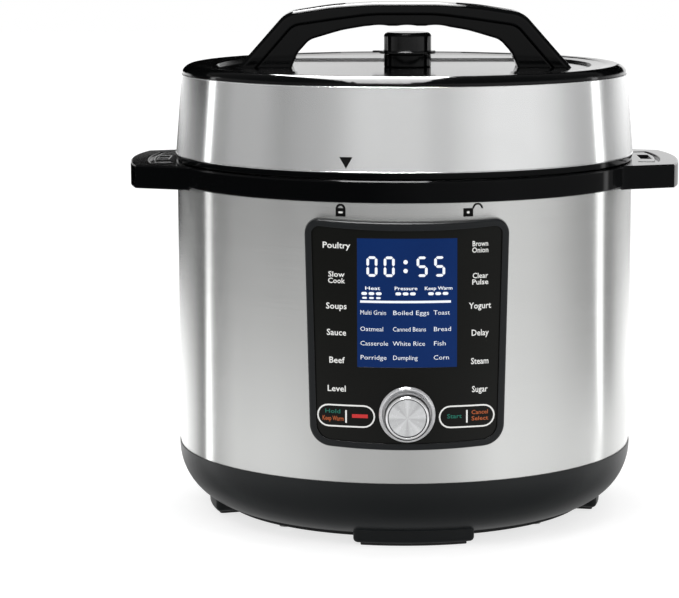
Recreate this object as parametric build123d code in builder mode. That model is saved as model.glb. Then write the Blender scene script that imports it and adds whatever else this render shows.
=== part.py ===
"""Electric pressure cooker, six litre class, as an assembly of separate pieces.

Millimetres, +Z up. The origin is on the surface the feet stand on, on the axis of the pot.
The control panel faces -Y and the side handles stand out along X. The lid is locked.
"""

import math
import os

from build123d import *

# Heights above the surface the feet stand on
PAD_T = 1.6
COVER_Z0 = 4.0
COVER_Z1 = 6.5
SHELL_Z0 = 41.6
SHELL_Z1 = 206.1
COLLAR_Z0 = 203.1
COLLAR_Z1 = 215.6
HANDLE_Z0 = 201.6
FLOOR_Z = 204.1
POT_Z0 = 65.4
POT_Z1 = 217.1
LIP_Z0 = 215.9
BAND_Z0 = 219.8
BAND_Z1 = 267.7
LID_TOP = 272.4
LID_CREST = 273.4
LID_RECESS = 271.2
LID_UNDER = 268.4
GRIP_TOP = 310.3
FOOT_OUT = 101.3

# Radii about the axis of the pot
SHELL_R = 139.0
SHELL_T = 0.8
COLLAR_R = 141.5
HANDLE_R = 167.4
BAND_R0 = 139.7
BAND_R1 = 135.6
POT_R = 110.0
POT_T = 1.0
LINER_R = 115.2
LINER_T = 1.2
COVER_R = 112.0
FOOT_R = 121.5

# The bayonet that locks the lid
LUGS = 6
LUG_ARC = 26.0
LUG_Z0 = 210.1
LUG_Z1 = 213.1
LUG_R = 127.0

# The control panel, a curved block that follows the shell
PANEL_R = 146.0
FACE_R = 145.2
FACE_T = 2.8
PANEL_TOP = 194.3
PANEL_BOTTOM = 62.3
PANEL_TOP_HALF = 58.1
PANEL_BOTTOM_HALF = 55.3
DISPLAY_HALF = 28.2
DISPLAY_Z0 = 110.2
DISPLAY_Z1 = 183.6
BOARD_Y = -133.4
BOARD_T = 1.6

# The dial, on an axis along Y
DIAL_Z = 83.3
DIAL_R = 12.8
DIAL_RING_R = 16.0
DIAL_FRONT = -157.4
SHAFT_R = 3.0

# The feet turn a little against the panel
FOOT_TURN = 2.1
FOOT_HALF_ARC = 17.3

# The steam valve and the float valve on the lid
VALVE_X = 1.9
VALVE_R = 14.4
VALVE_FLANGE_R = 17.3
VALVE_TOP = 292.1
PIPE_R = 4.5
FLOAT_Y = 40.0

# The condensation cup at the back
CUP_BACK = 157.4
CUP_HALF = 30.0

RUNNING_GAP = 0.05
BODY_GAP = 0.3


def keep(piece, name, across=0.0):
    """Moves a finished piece across, if asked, labels it and writes it as its own STEP file."""
    placed = Pos(across, 0, 0) * piece.part
    placed.label = name
    export_step(placed, f"parts/{name}.step")


def turned(points):
    """A solid of revolution about Z from its half section, given as (radius, height) points."""
    with BuildPart() as piece:
        with BuildSketch(Plane.XZ):
            with BuildLine():
                Polyline(*points, close=True)
            make_face()
        revolve(axis=Axis.Z)
    return piece


def around_y(points, height):
    """A solid of revolution about the line along Y at this height, from (radius, y) points."""
    with BuildPart() as piece:
        with BuildSketch(Plane.XY.offset(height)):
            with BuildLine():
                Polyline(*points, close=True)
            make_face()
        revolve(axis=Axis((0, 0, height), (0, 1, 0)))
    return piece


def arc_sector(inner, outer, half_angle, direction):
    """Draws a ring sector, centred on a direction in degrees from +X, in the open sketch."""
    with BuildLine() as outline:
        a0 = direction - half_angle
        a1 = direction + half_angle
        outside = CenterArc((0, 0), outer, a0, a1 - a0)
        inside = CenterArc((0, 0), inner, a0, a1 - a0)
        Line(outside @ 0, inside @ 0)
        Line(outside @ 1, inside @ 1)
    make_face(outline.edges())


def vertices_of_sketch():
    """The open sketch's corners, lowest first."""
    return BuildSketch._get_context().sketch.vertices().sort_by(Axis.Y)


def panel_outline(inset, sag):
    """The front view of the panel, inset all round, with its round corners."""
    top = PANEL_TOP - inset
    bottom = PANEL_BOTTOM + 2.0 + inset
    top_half = PANEL_TOP_HALF - inset
    bottom_half = PANEL_BOTTOM_HALF - inset
    with BuildSketch(mode=Mode.PRIVATE) as outline:
        with BuildLine():
            ThreePointArc((-top_half, top), (0, top - sag), (top_half, top))
            Line((top_half, top), (bottom_half, bottom))
            ThreePointArc((bottom_half, bottom), (0, bottom - 2.0), (-bottom_half, bottom))
            Line((-bottom_half, bottom), (-top_half, top))
        make_face()
        corners = outline.vertices().sort_by(Axis.Y)
        fillet(corners[2:], max(8.5 - inset, 3.0))
        lowest = outline.vertices().sort_by(Axis.Y)[:2]
        fillet(lowest, max(12.5 - inset, 5.0))
    return outline.sketch


# ---------------------------------------------------------------- housing


def outer_shell():
    """The brushed steel wrap round the body, with the cut-out behind the panel."""
    with BuildPart() as piece:
        with BuildSketch(Plane.XY.offset(SHELL_Z0)):
            Circle(SHELL_R)
            Circle(SHELL_R - SHELL_T, mode=Mode.SUBTRACT)
        extrude(amount=SHELL_Z1 - SHELL_Z0)
        with BuildSketch(Plane.XZ):
            add(panel_outline(5.0, 1.6))
        extrude(amount=SHELL_R + 20, mode=Mode.SUBTRACT)
    keep(piece, "outer_shell")


def base_tray():
    """The dark plastic bowl under the shell, with the foot bosses and the seat of the inlet."""
    wall = 2.6
    with BuildPart() as piece:
        with BuildSketch(Plane.XZ):
            with BuildLine():
                outside = ThreePointArc((139.6, SHELL_Z0), (133.6, 20.8), (115.0, COVER_Z1))
                inside = ThreePointArc((136.2, 40.0), (130.8, 21.6), (114.0, 9.1))
                Polyline(outside @ 1, (109.0, COVER_Z1), (109.0, 9.1), inside @ 1)
                Polyline(
                    inside @ 0,
                    (136.2, SHELL_Z0 + 7),
                    (SHELL_R - SHELL_T, SHELL_Z0 + 7),
                    (SHELL_R - SHELL_T, SHELL_Z0),
                    outside @ 0,
                )
            make_face()
        revolve(axis=Axis.Z)
        with BuildSketch(Plane.XY.offset(PAD_T)) as bosses:
            for step in range(4):
                arc_sector(101.0, FOOT_R, FOOT_HALF_ARC, FOOT_TURN + 90 * step)
            fillet(bosses.vertices(), 3.2)
        extrude(amount=9.0)
        # The boss round the mains inlet ends in a flat face at the back
        with Locations((0, 120.0, 23.5)):
            Box(38, 26, 29)
        with Locations((0, 153.0, 23.5)):
            Box(38, 40, 29, mode=Mode.SUBTRACT)
        with Locations((0, 115.0, 24.0)):
            Box(28.2, 60, 20.2, mode=Mode.SUBTRACT)
        low = piece.edges().group_by(Axis.Z)[0]
        fillet(low, 2.6)
    keep(piece, "base_tray")


def foot_pads():
    """Four rubber pads on the undersides of the foot bosses."""
    with BuildPart() as piece:
        with BuildSketch() as pads:
            for step in range(4):
                arc_sector(104.4, FOOT_R - 3.2, FOOT_HALF_ARC - 1.9, FOOT_TURN + 90 * step)
            fillet(pads.vertices(), 1.6)
        extrude(amount=PAD_T)
    keep(piece, "foot_pads")


def bottom_cover():
    """The plate that closes the bowl, with rings of cooling slots and screw holes."""
    with BuildPart() as piece:
        with BuildSketch(Plane.XY.offset(COVER_Z0)):
            Circle(COVER_R)
            for step in range(4):
                with BuildSketch(Plane.XY, mode=Mode.PRIVATE) as notch:
                    arc_sector(100.4, 130.0, FOOT_HALF_ARC + 0.6, FOOT_TURN + 90 * step)
                add(notch.sketch, mode=Mode.SUBTRACT)
            for radius, count in ((36, 16), (52, 24), (68, 32)):
                with PolarLocations(radius, count):
                    SlotOverall(11, 2.4, mode=Mode.SUBTRACT)
            with PolarLocations(105.5, 4, start_angle=45 + FOOT_TURN):
                Circle(2.1, mode=Mode.SUBTRACT)
        extrude(amount=COVER_Z1 - COVER_Z0)
        # Posts that carry the power board
        with Locations(*[(x, y, COVER_Z1) for x in (-40, 40) for y in (-6, 50)]):
            Cylinder(3.2, 5.5, align=(Align.CENTER, Align.CENTER, Align.MIN))
            Cylinder(1.3, 5.5, align=(Align.CENTER, Align.CENTER, Align.MIN), mode=Mode.SUBTRACT)
    keep(piece, "bottom_cover")


def screws(name, places, head_z, head_r, head_h, shank_r, shank_l, up=True):
    """A set of pan head screws that stand along Z: one solid each, all in one node."""
    way = 1 if up else -1
    with BuildPart() as piece:
        with Locations(*[(x, y, head_z) for x, y in places]):
            Cylinder(head_r, head_h, align=(Align.CENTER, Align.CENTER, Align.MAX if up else Align.MIN))
            Cylinder(shank_r, shank_l, align=(Align.CENTER, Align.CENTER, Align.MIN if up else Align.MAX))
        with Locations(*[(x, y, head_z - way * head_h) for x, y in places]):
            Box(head_r * 1.3, 0.7, 1.2, mode=Mode.SUBTRACT)
            Box(0.7, head_r * 1.3, 1.2, mode=Mode.SUBTRACT)
    keep(piece, name)


def polar(radius, count, start):
    """Points on a circle as (x, y), from a start angle in degrees."""
    angles = [math.radians(start + 360 * i / count) for i in range(count)]
    return [(radius * math.cos(a), radius * math.sin(a)) for a in angles]


def side_handle_sketch(inset):
    """Draws both side handles in plan, inset all round, in the open sketch."""
    outer = HANDLE_R - inset
    half = 46.0 - inset
    root = 58.0 - inset
    corner = math.sqrt(outer * outer - half * half)
    for side in (-1, 1):
        with BuildLine() as outline:
            ThreePointArc((side * corner, -half), (side * outer, 0), (side * corner, half))
            Line((side * corner, half), (side * 128.0, root))
            Line((side * 128.0, root), (side * 128.0, -root))
            Line((side * 128.0, -root), (side * corner, -half))
        make_face(outline.edges())


def collar():
    """The black ring round the mouth of the body, with the two side handles."""
    with BuildPart() as piece:
        with BuildSketch(Plane.XY.offset(HANDLE_Z0)):
            side_handle_sketch(0)
            far = [v for v in vertices_of_sketch() if abs(v.X) > 140]
            fillet(far, 7.0)
            Circle(COLLAR_R)
        extrude(amount=COLLAR_Z1 - HANDLE_Z0)
        joins = [
            e
            for e in piece.edges().filter_by(Axis.Z)
            if 134 > abs(e.center().X) > 120 and abs(e.center().Y) > 45
        ]
        fillet(joins, 8.0)
        top = piece.faces().sort_by(Axis.Z)[-1]
        chamfer(top.outer_wire().edges(), 0.7)
        # Everything inside the ring, the step over the shell and the groove that takes its edge
        with BuildSketch(Plane.XZ):
            with BuildLine():
                Polyline(
                    (0, 190),
                    (136.0, 190),
                    (136.0, HANDLE_Z0),
                    (116.5, HANDLE_Z0),
                    (116.5, FLOOR_Z),
                    (132.5, FLOOR_Z),
                    (132.5, 230),
                    (0, 230),
                    close=True,
                )
            make_face()
        revolve(axis=Axis.Z, mode=Mode.SUBTRACT)
        with BuildSketch(Plane.XY.offset(HANDLE_Z0)):
            Circle(SHELL_R)
            Circle(SHELL_R - SHELL_T, mode=Mode.SUBTRACT)
        extrude(amount=SHELL_Z1 - HANDLE_Z0, mode=Mode.SUBTRACT)
        # The ring is less deep than the handles away from them
        with BuildSketch(Plane.XY.offset(HANDLE_Z0)):
            Circle(COLLAR_R + 1)
            Circle(SHELL_R, mode=Mode.SUBTRACT)
            with BuildSketch(Plane.XY, mode=Mode.PRIVATE) as near:
                side_handle_sketch(-4.0)
            add(near.sketch, mode=Mode.SUBTRACT)
        extrude(amount=COLLAR_Z0 - HANDLE_Z0, mode=Mode.SUBTRACT)
        # Shallow decorative groove on top of each handle, round an island with a slot
        with BuildSketch(Plane.XY.offset(COLLAR_Z1 - 1.6)):
            for side in (0, 180):
                arc_sector(144.0, 156.5, 13.0, side)
                with BuildSketch(Plane.XY, mode=Mode.PRIVATE) as island:
                    arc_sector(140.0, 153.0, 11.2, side)
                add(island.sketch, mode=Mode.SUBTRACT)
            with Locations((-147.5, 0), (147.5, 0)):
                Rectangle(7.0, 26.0)
        extrude(amount=2, mode=Mode.SUBTRACT)
        # Finger hollow under each handle
        with BuildSketch(Plane.XY.offset(HANDLE_Z0)):
            for side in (0, 180):
                arc_sector(143.0, 162.5, 14.0, side)
        extrude(amount=9.5, mode=Mode.SUBTRACT)
        with Locations(*[(x, y, FLOOR_Z) for x, y in polar(119.8, 6, 30)]):
            Cylinder(1.7, 20, mode=Mode.SUBTRACT)
    keep(piece, "collar")


# ---------------------------------------------------------------- inside the housing


def outer_pot():
    """The pressed liner that holds the inner pot, with the bayonet lugs of the lid on its rim."""
    inner = LINER_R - LINER_T
    floor = 46.5
    wall_top = 215.3
    with BuildPart() as piece:
        with BuildSketch(Plane.XZ):
            with BuildLine():
                Polyline(
                    (30.0, floor),
                    (LINER_R - 6, floor),
                    (LINER_R, floor + 6),
                    (LINER_R, FLOOR_Z),
                    (124.0, FLOOR_Z),
                    (124.0, FLOOR_Z + 1.2),
                    (LINER_R, FLOOR_Z + 1.2),
                    (LINER_R, LUG_Z0),
                    (121.0, LUG_Z0),
                    (121.0, LUG_Z1),
                    (LINER_R, LUG_Z1),
                    (LINER_R, wall_top),
                    (inner, wall_top),
                    (inner, floor + 6.5),
                    (inner - 5.3, floor + LINER_T),
                    (30.0, floor + LINER_T),
                    close=True,
                )
            make_face()
        revolve(axis=Axis.Z)
        with BuildSketch(Plane.XY.offset(LUG_Z0)):
            for step in range(LUGS):
                arc_sector(120.0, LUG_R, LUG_ARC / 2, step * 360 / LUGS)
        extrude(amount=LUG_Z1 - LUG_Z0)
        with Locations(*[(x, y, FLOOR_Z) for x, y in polar(119.8, 6, 30)]):
            Cylinder(1.7, 6, mode=Mode.SUBTRACT)
        with Locations(*[(x, y, floor) for x, y in polar(70, 3, 90)]):
            Cylinder(2.2, 10, mode=Mode.SUBTRACT)
        with Locations((-24, -64, floor), (24, -64, floor)):
            Cylinder(7, 10, mode=Mode.SUBTRACT)
    keep(piece, "outer_pot")


def heating_plate():
    """The cast aluminium plate with the sheathed element in it, its feet and its terminals."""
    top = POT_Z0 - BODY_GAP
    with BuildPart() as piece:
        with BuildSketch(Plane.XZ):
            with BuildLine():
                Polyline(
                    (15.0, 56.0),
                    (50.0, 56.0),
                    (52.0, 53.0),
                    (70.0, 53.0),
                    (72.0, 56.0),
                    (86.0, 58.0),
                    (90.0, 61.0),
                    (90.0, top - 2),
                    (88.0, top),
                    (15.0, top),
                    close=True,
                )
            make_face()
        revolve(axis=Axis.Z)
        with Locations(*[(x, y, 47.7) for x, y in polar(70, 3, 90)]):
            Cylinder(5, 10, align=(Align.CENTER, Align.CENTER, Align.MIN))
            Cylinder(1.8, 10, align=(Align.CENTER, Align.CENTER, Align.MIN), mode=Mode.SUBTRACT)
        with Locations((-24, -64, 38.0), (24, -64, 38.0)):
            Cylinder(3.2, 18, align=(Align.CENTER, Align.CENTER, Align.MIN))
    keep(piece, "heating_plate")


def sensor_group():
    """The sprung temperature sensor in the middle of the plate, its spring and its bridge."""
    top = POT_Z0 - BODY_GAP
    sensor = turned(
        [
            (0, top),
            (11.0, top),
            (12.0, top - 1),
            (12.0, top - 5),
            (14.2, top - 5),
            (14.2, top - 6.2),
            (5.0, top - 6.2),
            (5.0, 44.0),
            (0, 44.0),
        ]
    )
    keep(sensor, "sensor_button")
    with BuildPart() as bridge:
        with BuildSketch(Plane.XY.offset(42.0)):
            Rectangle(84, 18)
            Circle(5 + 1.0, mode=Mode.SUBTRACT)
        extrude(amount=1.5)
        with Locations((-38, 0, 43.5), (38, 0, 43.5)):
            Box(8, 18, 3.0, align=(Align.CENTER, Align.CENTER, Align.MIN))
    keep(bridge, "sensor_bridge")
    turns = 5
    z0 = 44.3
    z1 = top - 7.0
    with BuildPart() as spring:
        with BuildLine() as path:
            Helix(pitch=(z1 - z0) / turns, height=z1 - z0, radius=9.5, center=(0, 0, z0))
        with BuildSketch(Plane(path.line @ 0, z_dir=path.line % 0)):
            Circle(0.6)
        sweep(is_frenet=True)
    keep(spring, "sensor_spring")


def electronics():
    """The power board with its parts, and the mains inlet with its blades."""
    board_z = 12.0
    with BuildPart() as board:
        with Locations((0, 22, board_z)):
            Box(92, 68, BOARD_T, align=(Align.CENTER, Align.CENTER, Align.MIN))
        with Locations(*[(x, y, board_z) for x in (-40, 40) for y in (-6, 50)]):
            Cylinder(1.5, 10, mode=Mode.SUBTRACT)
    keep(board, "power_board")
    top = board_z + BOARD_T
    seat = (Align.CENTER, Align.CENTER, Align.MIN)
    with BuildPart() as transformer:
        with Locations((-22, 30, top)):
            Box(30, 26, 6, align=seat)
        with Locations((-22, 30, top + 6)):
            Box(24, 34, 15, align=seat)
        fillet(transformer.edges().filter_by(Axis.Z), 1.0)
    keep(transformer, "transformer")
    with BuildPart() as relay:
        with Locations((16, 36, top)):
            Box(19, 15.5, 15.5, align=seat)
        fillet(relay.faces().sort_by(Axis.Z)[-1].edges(), 0.8)
    keep(relay, "heater_relay")
    with BuildPart() as capacitor:
        with Locations((16, 10, top)):
            Box(18, 8, 14, align=seat)
        with Locations((-18, 2, top)):
            Cylinder(6.3, 20, align=seat)
    keep(capacitor, "capacitors")
    spots = [(x, y) for x in (-40, 40) for y in (-6, 50)]
    screws("board_screws", spots, top, 2.6, 1.8, 1.2, 5.5, up=False)

    with BuildPart() as inlet:
        with Locations((0, 121.0, 24.0)):
            Box(28, 24, 20)
        with Locations((0, 134.0, 24.0)):
            Box(36, 2.0, 27)
        with BuildSketch(Plane.XZ.offset(-135.0)):
            with Locations((0, 24.0)):
                Rectangle(24.0, 16.0)
                chamfer(vertices_of_sketch()[2:], 4.5)
        extrude(amount=15.0, mode=Mode.SUBTRACT)
        with Locations((-7, 120, 22.0), (7, 120, 22.0), (0, 120, 26.5)):
            Box(4.0, 40, 2.0, mode=Mode.SUBTRACT)
    keep(inlet, "mains_inlet")
    with BuildPart() as blades:
        with Locations((-7, 118, 22.0), (7, 118, 22.0), (0, 118, 26.5)):
            Box(4.0, 27, 2.0)
    keep(blades, "inlet_blades")


# ---------------------------------------------------------------- control panel


def curved_block(inset, inner, outer, sag):
    """A block with the outline of the panel between two cylinders about the axis of the pot."""
    with BuildPart() as block:
        with BuildSketch(Plane.XZ.offset(100)):
            add(panel_outline(inset, sag))
        extrude(amount=60)
        with BuildSketch(Plane.XY.offset(40)):
            Circle(outer)
            Circle(inner, mode=Mode.SUBTRACT)
        extrude(amount=180, mode=Mode.INTERSECT)
    return block


def panel():
    """The frame of the panel, its gloss face, the display window and what is behind them."""
    rim = 3.9
    with BuildPart() as frame:
        add(curved_block(0, SHELL_R + 0.02, PANEL_R, 1.6).part)
        front = [e for e in frame.edges() if radius_of(e.center()) > PANEL_R - 3]
        outer_edges = [e for e in front if e.length > 5]
        fillet(outer_edges, 2.0)
        add(curved_block(5.2, SHELL_R - 6, SHELL_R + 1, 1.6).part)
        add(curved_block(rim, FACE_R - FACE_T, PANEL_R + 5, 2.4).part, mode=Mode.SUBTRACT)
        add(curved_block(8.0, SHELL_R - 10, PANEL_R, 1.6).part, mode=Mode.SUBTRACT)
    keep(frame, "panel_frame")
    with BuildPart() as face:
        add(curved_block(rim, FACE_R - FACE_T, FACE_R, 2.4).part)
        with BuildSketch(Plane.XZ.offset(120)):
            with Locations((0, (DISPLAY_Z0 + DISPLAY_Z1) / 2)):
                Rectangle(2 * DISPLAY_HALF, DISPLAY_Z1 - DISPLAY_Z0)
            with Locations((0, DIAL_Z)):
                Circle(DIAL_RING_R - 1.5)
        extrude(amount=40, mode=Mode.SUBTRACT)
    keep(face, "panel_face")
    with BuildPart() as window:
        with BuildSketch(Plane.XZ.offset(120)):
            with Locations((0, (DISPLAY_Z0 + DISPLAY_Z1) / 2)):
                Rectangle(2 * DISPLAY_HALF, DISPLAY_Z1 - DISPLAY_Z0)
        extrude(amount=40)
        with BuildSketch(Plane.XY.offset(40)):
            Circle(FACE_R)
            Circle(FACE_R - FACE_T, mode=Mode.SUBTRACT)
        extrude(amount=180, mode=Mode.INTERSECT)
    keep(window, "display_window")
    with BuildPart() as module:
        with Locations((0, -136.4, DISPLAY_Z0 + 36.2)):
            Box(62, 4.6, 75.2)
    keep(module, "display_module")
    with BuildPart() as board:
        with Locations((0, BOARD_Y + BOARD_T / 2, 129.0)):
            Box(88, BOARD_T, 108)
        with Locations((0, BOARD_Y, DIAL_Z)):
            Box(9, 10, 9, mode=Mode.SUBTRACT)
    keep(board, "control_board")


def radius_of(point):
    """Distance of a point from the axis of the pot."""
    return math.hypot(point.X, point.Y)


def dial():
    """The selector: the encoder and its shaft, the bright ring, the knob and its spun cap."""
    with BuildPart() as encoder:
        with Locations((0, -136.6, DIAL_Z)):
            Box(13, 6.2, 13)
            Box(6.6, 8.4, 6.6)
        with BuildSketch(Plane.XZ.offset(139.7)):
            with Locations((0, DIAL_Z)):
                Circle(3.9)
        extrude(amount=5.2)
        with BuildSketch(Plane.XZ.offset(135.0)):
            with Locations((0, DIAL_Z)):
                Circle(SHAFT_R + RUNNING_GAP)
        extrude(amount=20.0, mode=Mode.SUBTRACT)
    keep(encoder, "encoder_body")
    keep(around_y([(0, -154.4), (SHAFT_R, -154.4), (SHAFT_R, -135.3), (0, -135.3)], DIAL_Z), "encoder_shaft")
    ring = around_y(
        [
            (4.0, -142.5),
            (14.4, -142.5),
            (14.4, -145.4),
            (DIAL_RING_R, -145.4),
            (DIAL_RING_R, -146.4),
            (15.2, -147.6),
            (14.4, -147.4),
            (13.7, -146.2),
            (13.7, -143.7),
            (4.0, -143.7),
        ],
        DIAL_Z,
    )
    keep(ring, "dial_ring")
    knob = around_y(
        [
            (SHAFT_R + RUNNING_GAP, -146.4),
            (DIAL_R - 0.4, -146.4),
            (DIAL_R, -147.0),
            (DIAL_R, -155.2),
            (12.2, -156.6),
            (11.5, -157.3),
            (11.1, DIAL_FRONT),
            (11.1, -156.2),
            (0, -156.2),
            (0, -155.4),
            (SHAFT_R + RUNNING_GAP, -155.4),
        ],
        DIAL_Z,
    )
    keep(knob, "dial_knob")
    keep(around_y([(0, -157.2), (10.3, -157.2), (10.6, -156.9), (10.6, -156.2), (0, -156.2)], DIAL_Z), "dial_cap")


# ---------------------------------------------------------------- pot and seal


def inner_pot():
    """The cooking pot that lifts out, with a rolled rim."""
    r = POT_R
    t = POT_T
    with BuildPart() as piece:
        with BuildSketch(Plane.XZ):
            with BuildLine():
                bottom = Line((0, POT_Z0), (r - 14, POT_Z0))
                heel = ThreePointArc(bottom @ 1, (r - 14 * 0.2929, POT_Z0 + 14 * 0.2929), (r, POT_Z0 + 14))
                wall = Line(heel @ 1, (r, POT_Z1 - 1.5))
                rim = Polyline(
                    wall @ 1, (118.5, POT_Z1 - 1.5), (118.5, POT_Z1), (r - t, POT_Z1), (r - t, POT_Z0 + 14)
                )
                inner = ThreePointArc(
                    rim @ 1, (r - t - 13 * 0.2929, POT_Z0 + t + 13 * 0.2929), (r - 14, POT_Z0 + t)
                )
                Polyline(inner @ 1, (0, POT_Z0 + t), (0, POT_Z0))
            make_face()
        revolve(axis=Axis.Z)
    keep(piece, "inner_pot")


def sealing_ring():
    """The silicone gasket between the rim of the pot and the pressure lid."""
    z0 = POT_Z1 + BODY_GAP
    points = [
        (107.5, z0),
        (118.8, z0),
        (119.4, z0 + 3),
        (118.8, z0 + 10.4),
        (116.2, z0 + 10.4),
        (115.6, z0 + 3.6),
        (110.5, z0 + 3.0),
        (107.5, z0 + 1.6),
    ]
    keep(turned(points), "sealing_ring")


# ---------------------------------------------------------------- lid


def pressure_lid():
    """The thick steel inner lid with its skirt and bayonet lugs."""
    skirt = 130.4
    t = 1.3
    low = 205.6
    with BuildPart() as piece:
        with BuildSketch(Plane.XZ):
            with BuildLine():
                Polyline(
                    (0, 244.1),
                    (90.0, 242.1),
                    (104.0, 236.1),
                    (114.5, 229.7),
                    (skirt - 1, 229.7),
                    (skirt, 228.7),
                    (skirt, low),
                    (skirt - t, low),
                    (skirt - t, 228.3),
                    (114.2, 228.3),
                    (103.4, 234.8),
                    (89.7, 240.7),
                    (0, 242.7),
                    close=True,
                )
            make_face()
        revolve(axis=Axis.Z)
        with BuildSketch(Plane.XY.offset(low)):
            for step in range(LUGS):
                arc_sector(123.8, skirt - t / 2, LUG_ARC / 2, step * 360 / LUGS)
        extrude(amount=3.0)
        with Locations((VALVE_X, 0, 0)):
            Cylinder(PIPE_R + 0.1, 600, mode=Mode.SUBTRACT)
        with Locations((0, FLOAT_Y, 240)):
            Cylinder(4.6, 40, mode=Mode.SUBTRACT)
        with Locations(*[(x, y, 229) for x, y in polar(124.0, 4, 45)]):
            Cylinder(1.7, 12, mode=Mode.SUBTRACT)
    keep(piece, "pressure_lid")
    with BuildPart() as rack:
        with BuildLine() as path:
            CenterArc((0, 0, 227.5), 113.0, 0, 360)
        with BuildSketch(Plane(path.line @ 0, z_dir=path.line % 0)):
            Circle(1.2)
        sweep()
    keep(rack, "seal_rack")


def lid_lip():
    """The black ring under the edge of the lid, which carries the steel band."""
    points = [
        (138.9, LIP_Z0),
        (139.5, LIP_Z0 + 0.6),
        (139.5, BAND_Z0),
        (138.6, BAND_Z0),
        (138.3, BAND_Z0 + 4.2),
        (136.6, BAND_Z0 + 4.2),
        (136.6, BAND_Z0),
        (131.6, BAND_Z0),
        (131.6, LIP_Z0),
    ]
    keep(turned(points), "lid_lip")


def lid_band():
    """The tall brushed steel band round the lid, a little narrower at the top."""
    t = 0.8
    points = [(BAND_R0, BAND_Z0), (BAND_R1, BAND_Z1), (BAND_R1 - t, BAND_Z1), (BAND_R0 - t, BAND_Z0)]
    keep(turned(points), "lid_band")


def lid_cover():
    """The gloss black top of the lid, with the long recess for the handle and the valve."""
    with BuildPart() as piece:
        with BuildSketch(Plane.XZ):
            with BuildLine():
                top = Polyline((0, LID_TOP), (112.0, LID_TOP), (122.0, LID_TOP + 0.4))
                crest = ThreePointArc(top @ 1, (126.0, LID_CREST - 0.1), (129.4, LID_CREST))
                shoulder = ThreePointArc(crest @ 1, (133.4, 271.9), (135.3, 269.7))
                Polyline(
                    shoulder @ 1,
                    (135.5, BAND_Z1),
                    (134.6, BAND_Z1),
                    (134.2, 261.0),
                    (131.8, 261.0),
                    (131.8, LID_UNDER),
                    (0, LID_UNDER),
                    (0, LID_TOP),
                )
            make_face()
        revolve(axis=Axis.Z)
        with BuildSketch(Plane.XY.offset(LID_RECESS)):
            Circle(114.0)
            Rectangle(300, 132, mode=Mode.INTERSECT)
        extrude(amount=10, mode=Mode.SUBTRACT)
        # Posts down to the pressure lid
        with Locations(*[(x, y, 229.7) for x, y in polar(124.0, 4, 45)]):
            Cylinder(4.5, LID_UNDER - 229.7, align=(Align.CENTER, Align.CENTER, Align.MIN))
            Cylinder(1.3, 14, align=(Align.CENTER, Align.CENTER, Align.MIN), mode=Mode.SUBTRACT)
        with Locations((VALVE_X, 0, 0)):
            Cylinder(PIPE_R + 0.1, 600, mode=Mode.SUBTRACT)
        with Locations((0, FLOAT_Y, 268)):
            Cylinder(4.5, 30, mode=Mode.SUBTRACT)
        with Locations(*[(x, y, 268) for x in (-79, 79) for y in (-8, 8)]):
            Cylinder(2.1, 30, mode=Mode.SUBTRACT)
    keep(piece, "lid_cover")


def arch(half, radii):
    """One edge of the handle's arch in front view, from the points of its right half."""
    mirrored = [(-x, z) for x, z in reversed(half)]
    return FilletPolyline(*half, *mirrored, radius=(*radii, *reversed(radii)))


def lid_handle():
    """The arched carrying handle: an outer cover and an inner grip, one round the other."""
    top = [(FOOT_OUT, LID_RECESS), (71.8, GRIP_TOP - 5.8), (44.0, GRIP_TOP - 1.5), (20.0, GRIP_TOP)]
    split = [(90.3, LID_RECESS), (67.7, GRIP_TOP - 13.3), (44.0, GRIP_TOP - 9.8), (20.0, GRIP_TOP - 6.6)]
    under = [(68.6, LID_RECESS), (64.9, 280.0), (57.6, 288.1), (38.0, 293.9), (23.0, 296.4)]
    with BuildPart() as cover:
        with BuildSketch(Plane.XZ.offset(-15)):
            with BuildLine():
                outside = arch(top, (16, 150, 150))
                inside = arch(split, (11, 120, 120))
                Line(outside @ 0, inside @ 0)
                Line(outside @ 1, inside @ 1)
            make_face()
        extrude(amount=30)
        rims = [e for e in cover.edges() if abs(abs(e.center().Y) - 15) < 0.01]
        fillet([e for e in rims if outer_edge(e)], 2.6)
        rims = [e for e in cover.edges() if abs(abs(e.center().Y) - 15) < 0.01]
        fillet([e for e in rims if (e @ 0.5).Z > LID_RECESS + 0.5], 0.7)
    keep(cover, "handle_cover")
    with BuildPart() as grip:
        with BuildSketch(Plane.XZ.offset(-13.6)):
            with BuildLine():
                outside = arch(split, (11, 120, 120))
                inside = arch(under, (10, 11, 60, 30))
                Line(outside @ 0, inside @ 0)
                Line(outside @ 1, inside @ 1)
            make_face()
        extrude(amount=27.2)
        lower = [e for e in grip.edges() if abs(abs(e.center().Y) - 13.6) < 0.01 and under_edge(e)]
        fillet(lower, 1.2)
        # Shallow finger hollows along the underside
        with Locations(*[(x, 0, 267.0) for x in (-15.5, 1.5, 18.5)]):
            Cylinder(30, 40, rotation=(90, 0, 0), mode=Mode.SUBTRACT)
        with Locations(*[(x, y, LID_RECESS) for x in (-79, 79) for y in (-8, 8)]):
            Cylinder(1.8, 15.2, mode=Mode.SUBTRACT)
    keep(grip, "handle_grip")


def under_edge(edge):
    """True for an edge along the underside of the grip, between its feet."""
    middle = edge @ 0.5
    return abs(middle.X) < 69 and LID_RECESS + 0.5 < middle.Z < 297


def outer_edge(edge):
    """True for an edge on the outer side of the handle's arch."""
    middle = edge @ 0.5
    reach = abs(middle.X) / FOOT_OUT
    rise = (middle.Z - LID_RECESS) / (GRIP_TOP - LID_RECESS)
    return middle.Z > LID_RECESS + 0.5 and math.hypot(reach, rise) > 0.94


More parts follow.
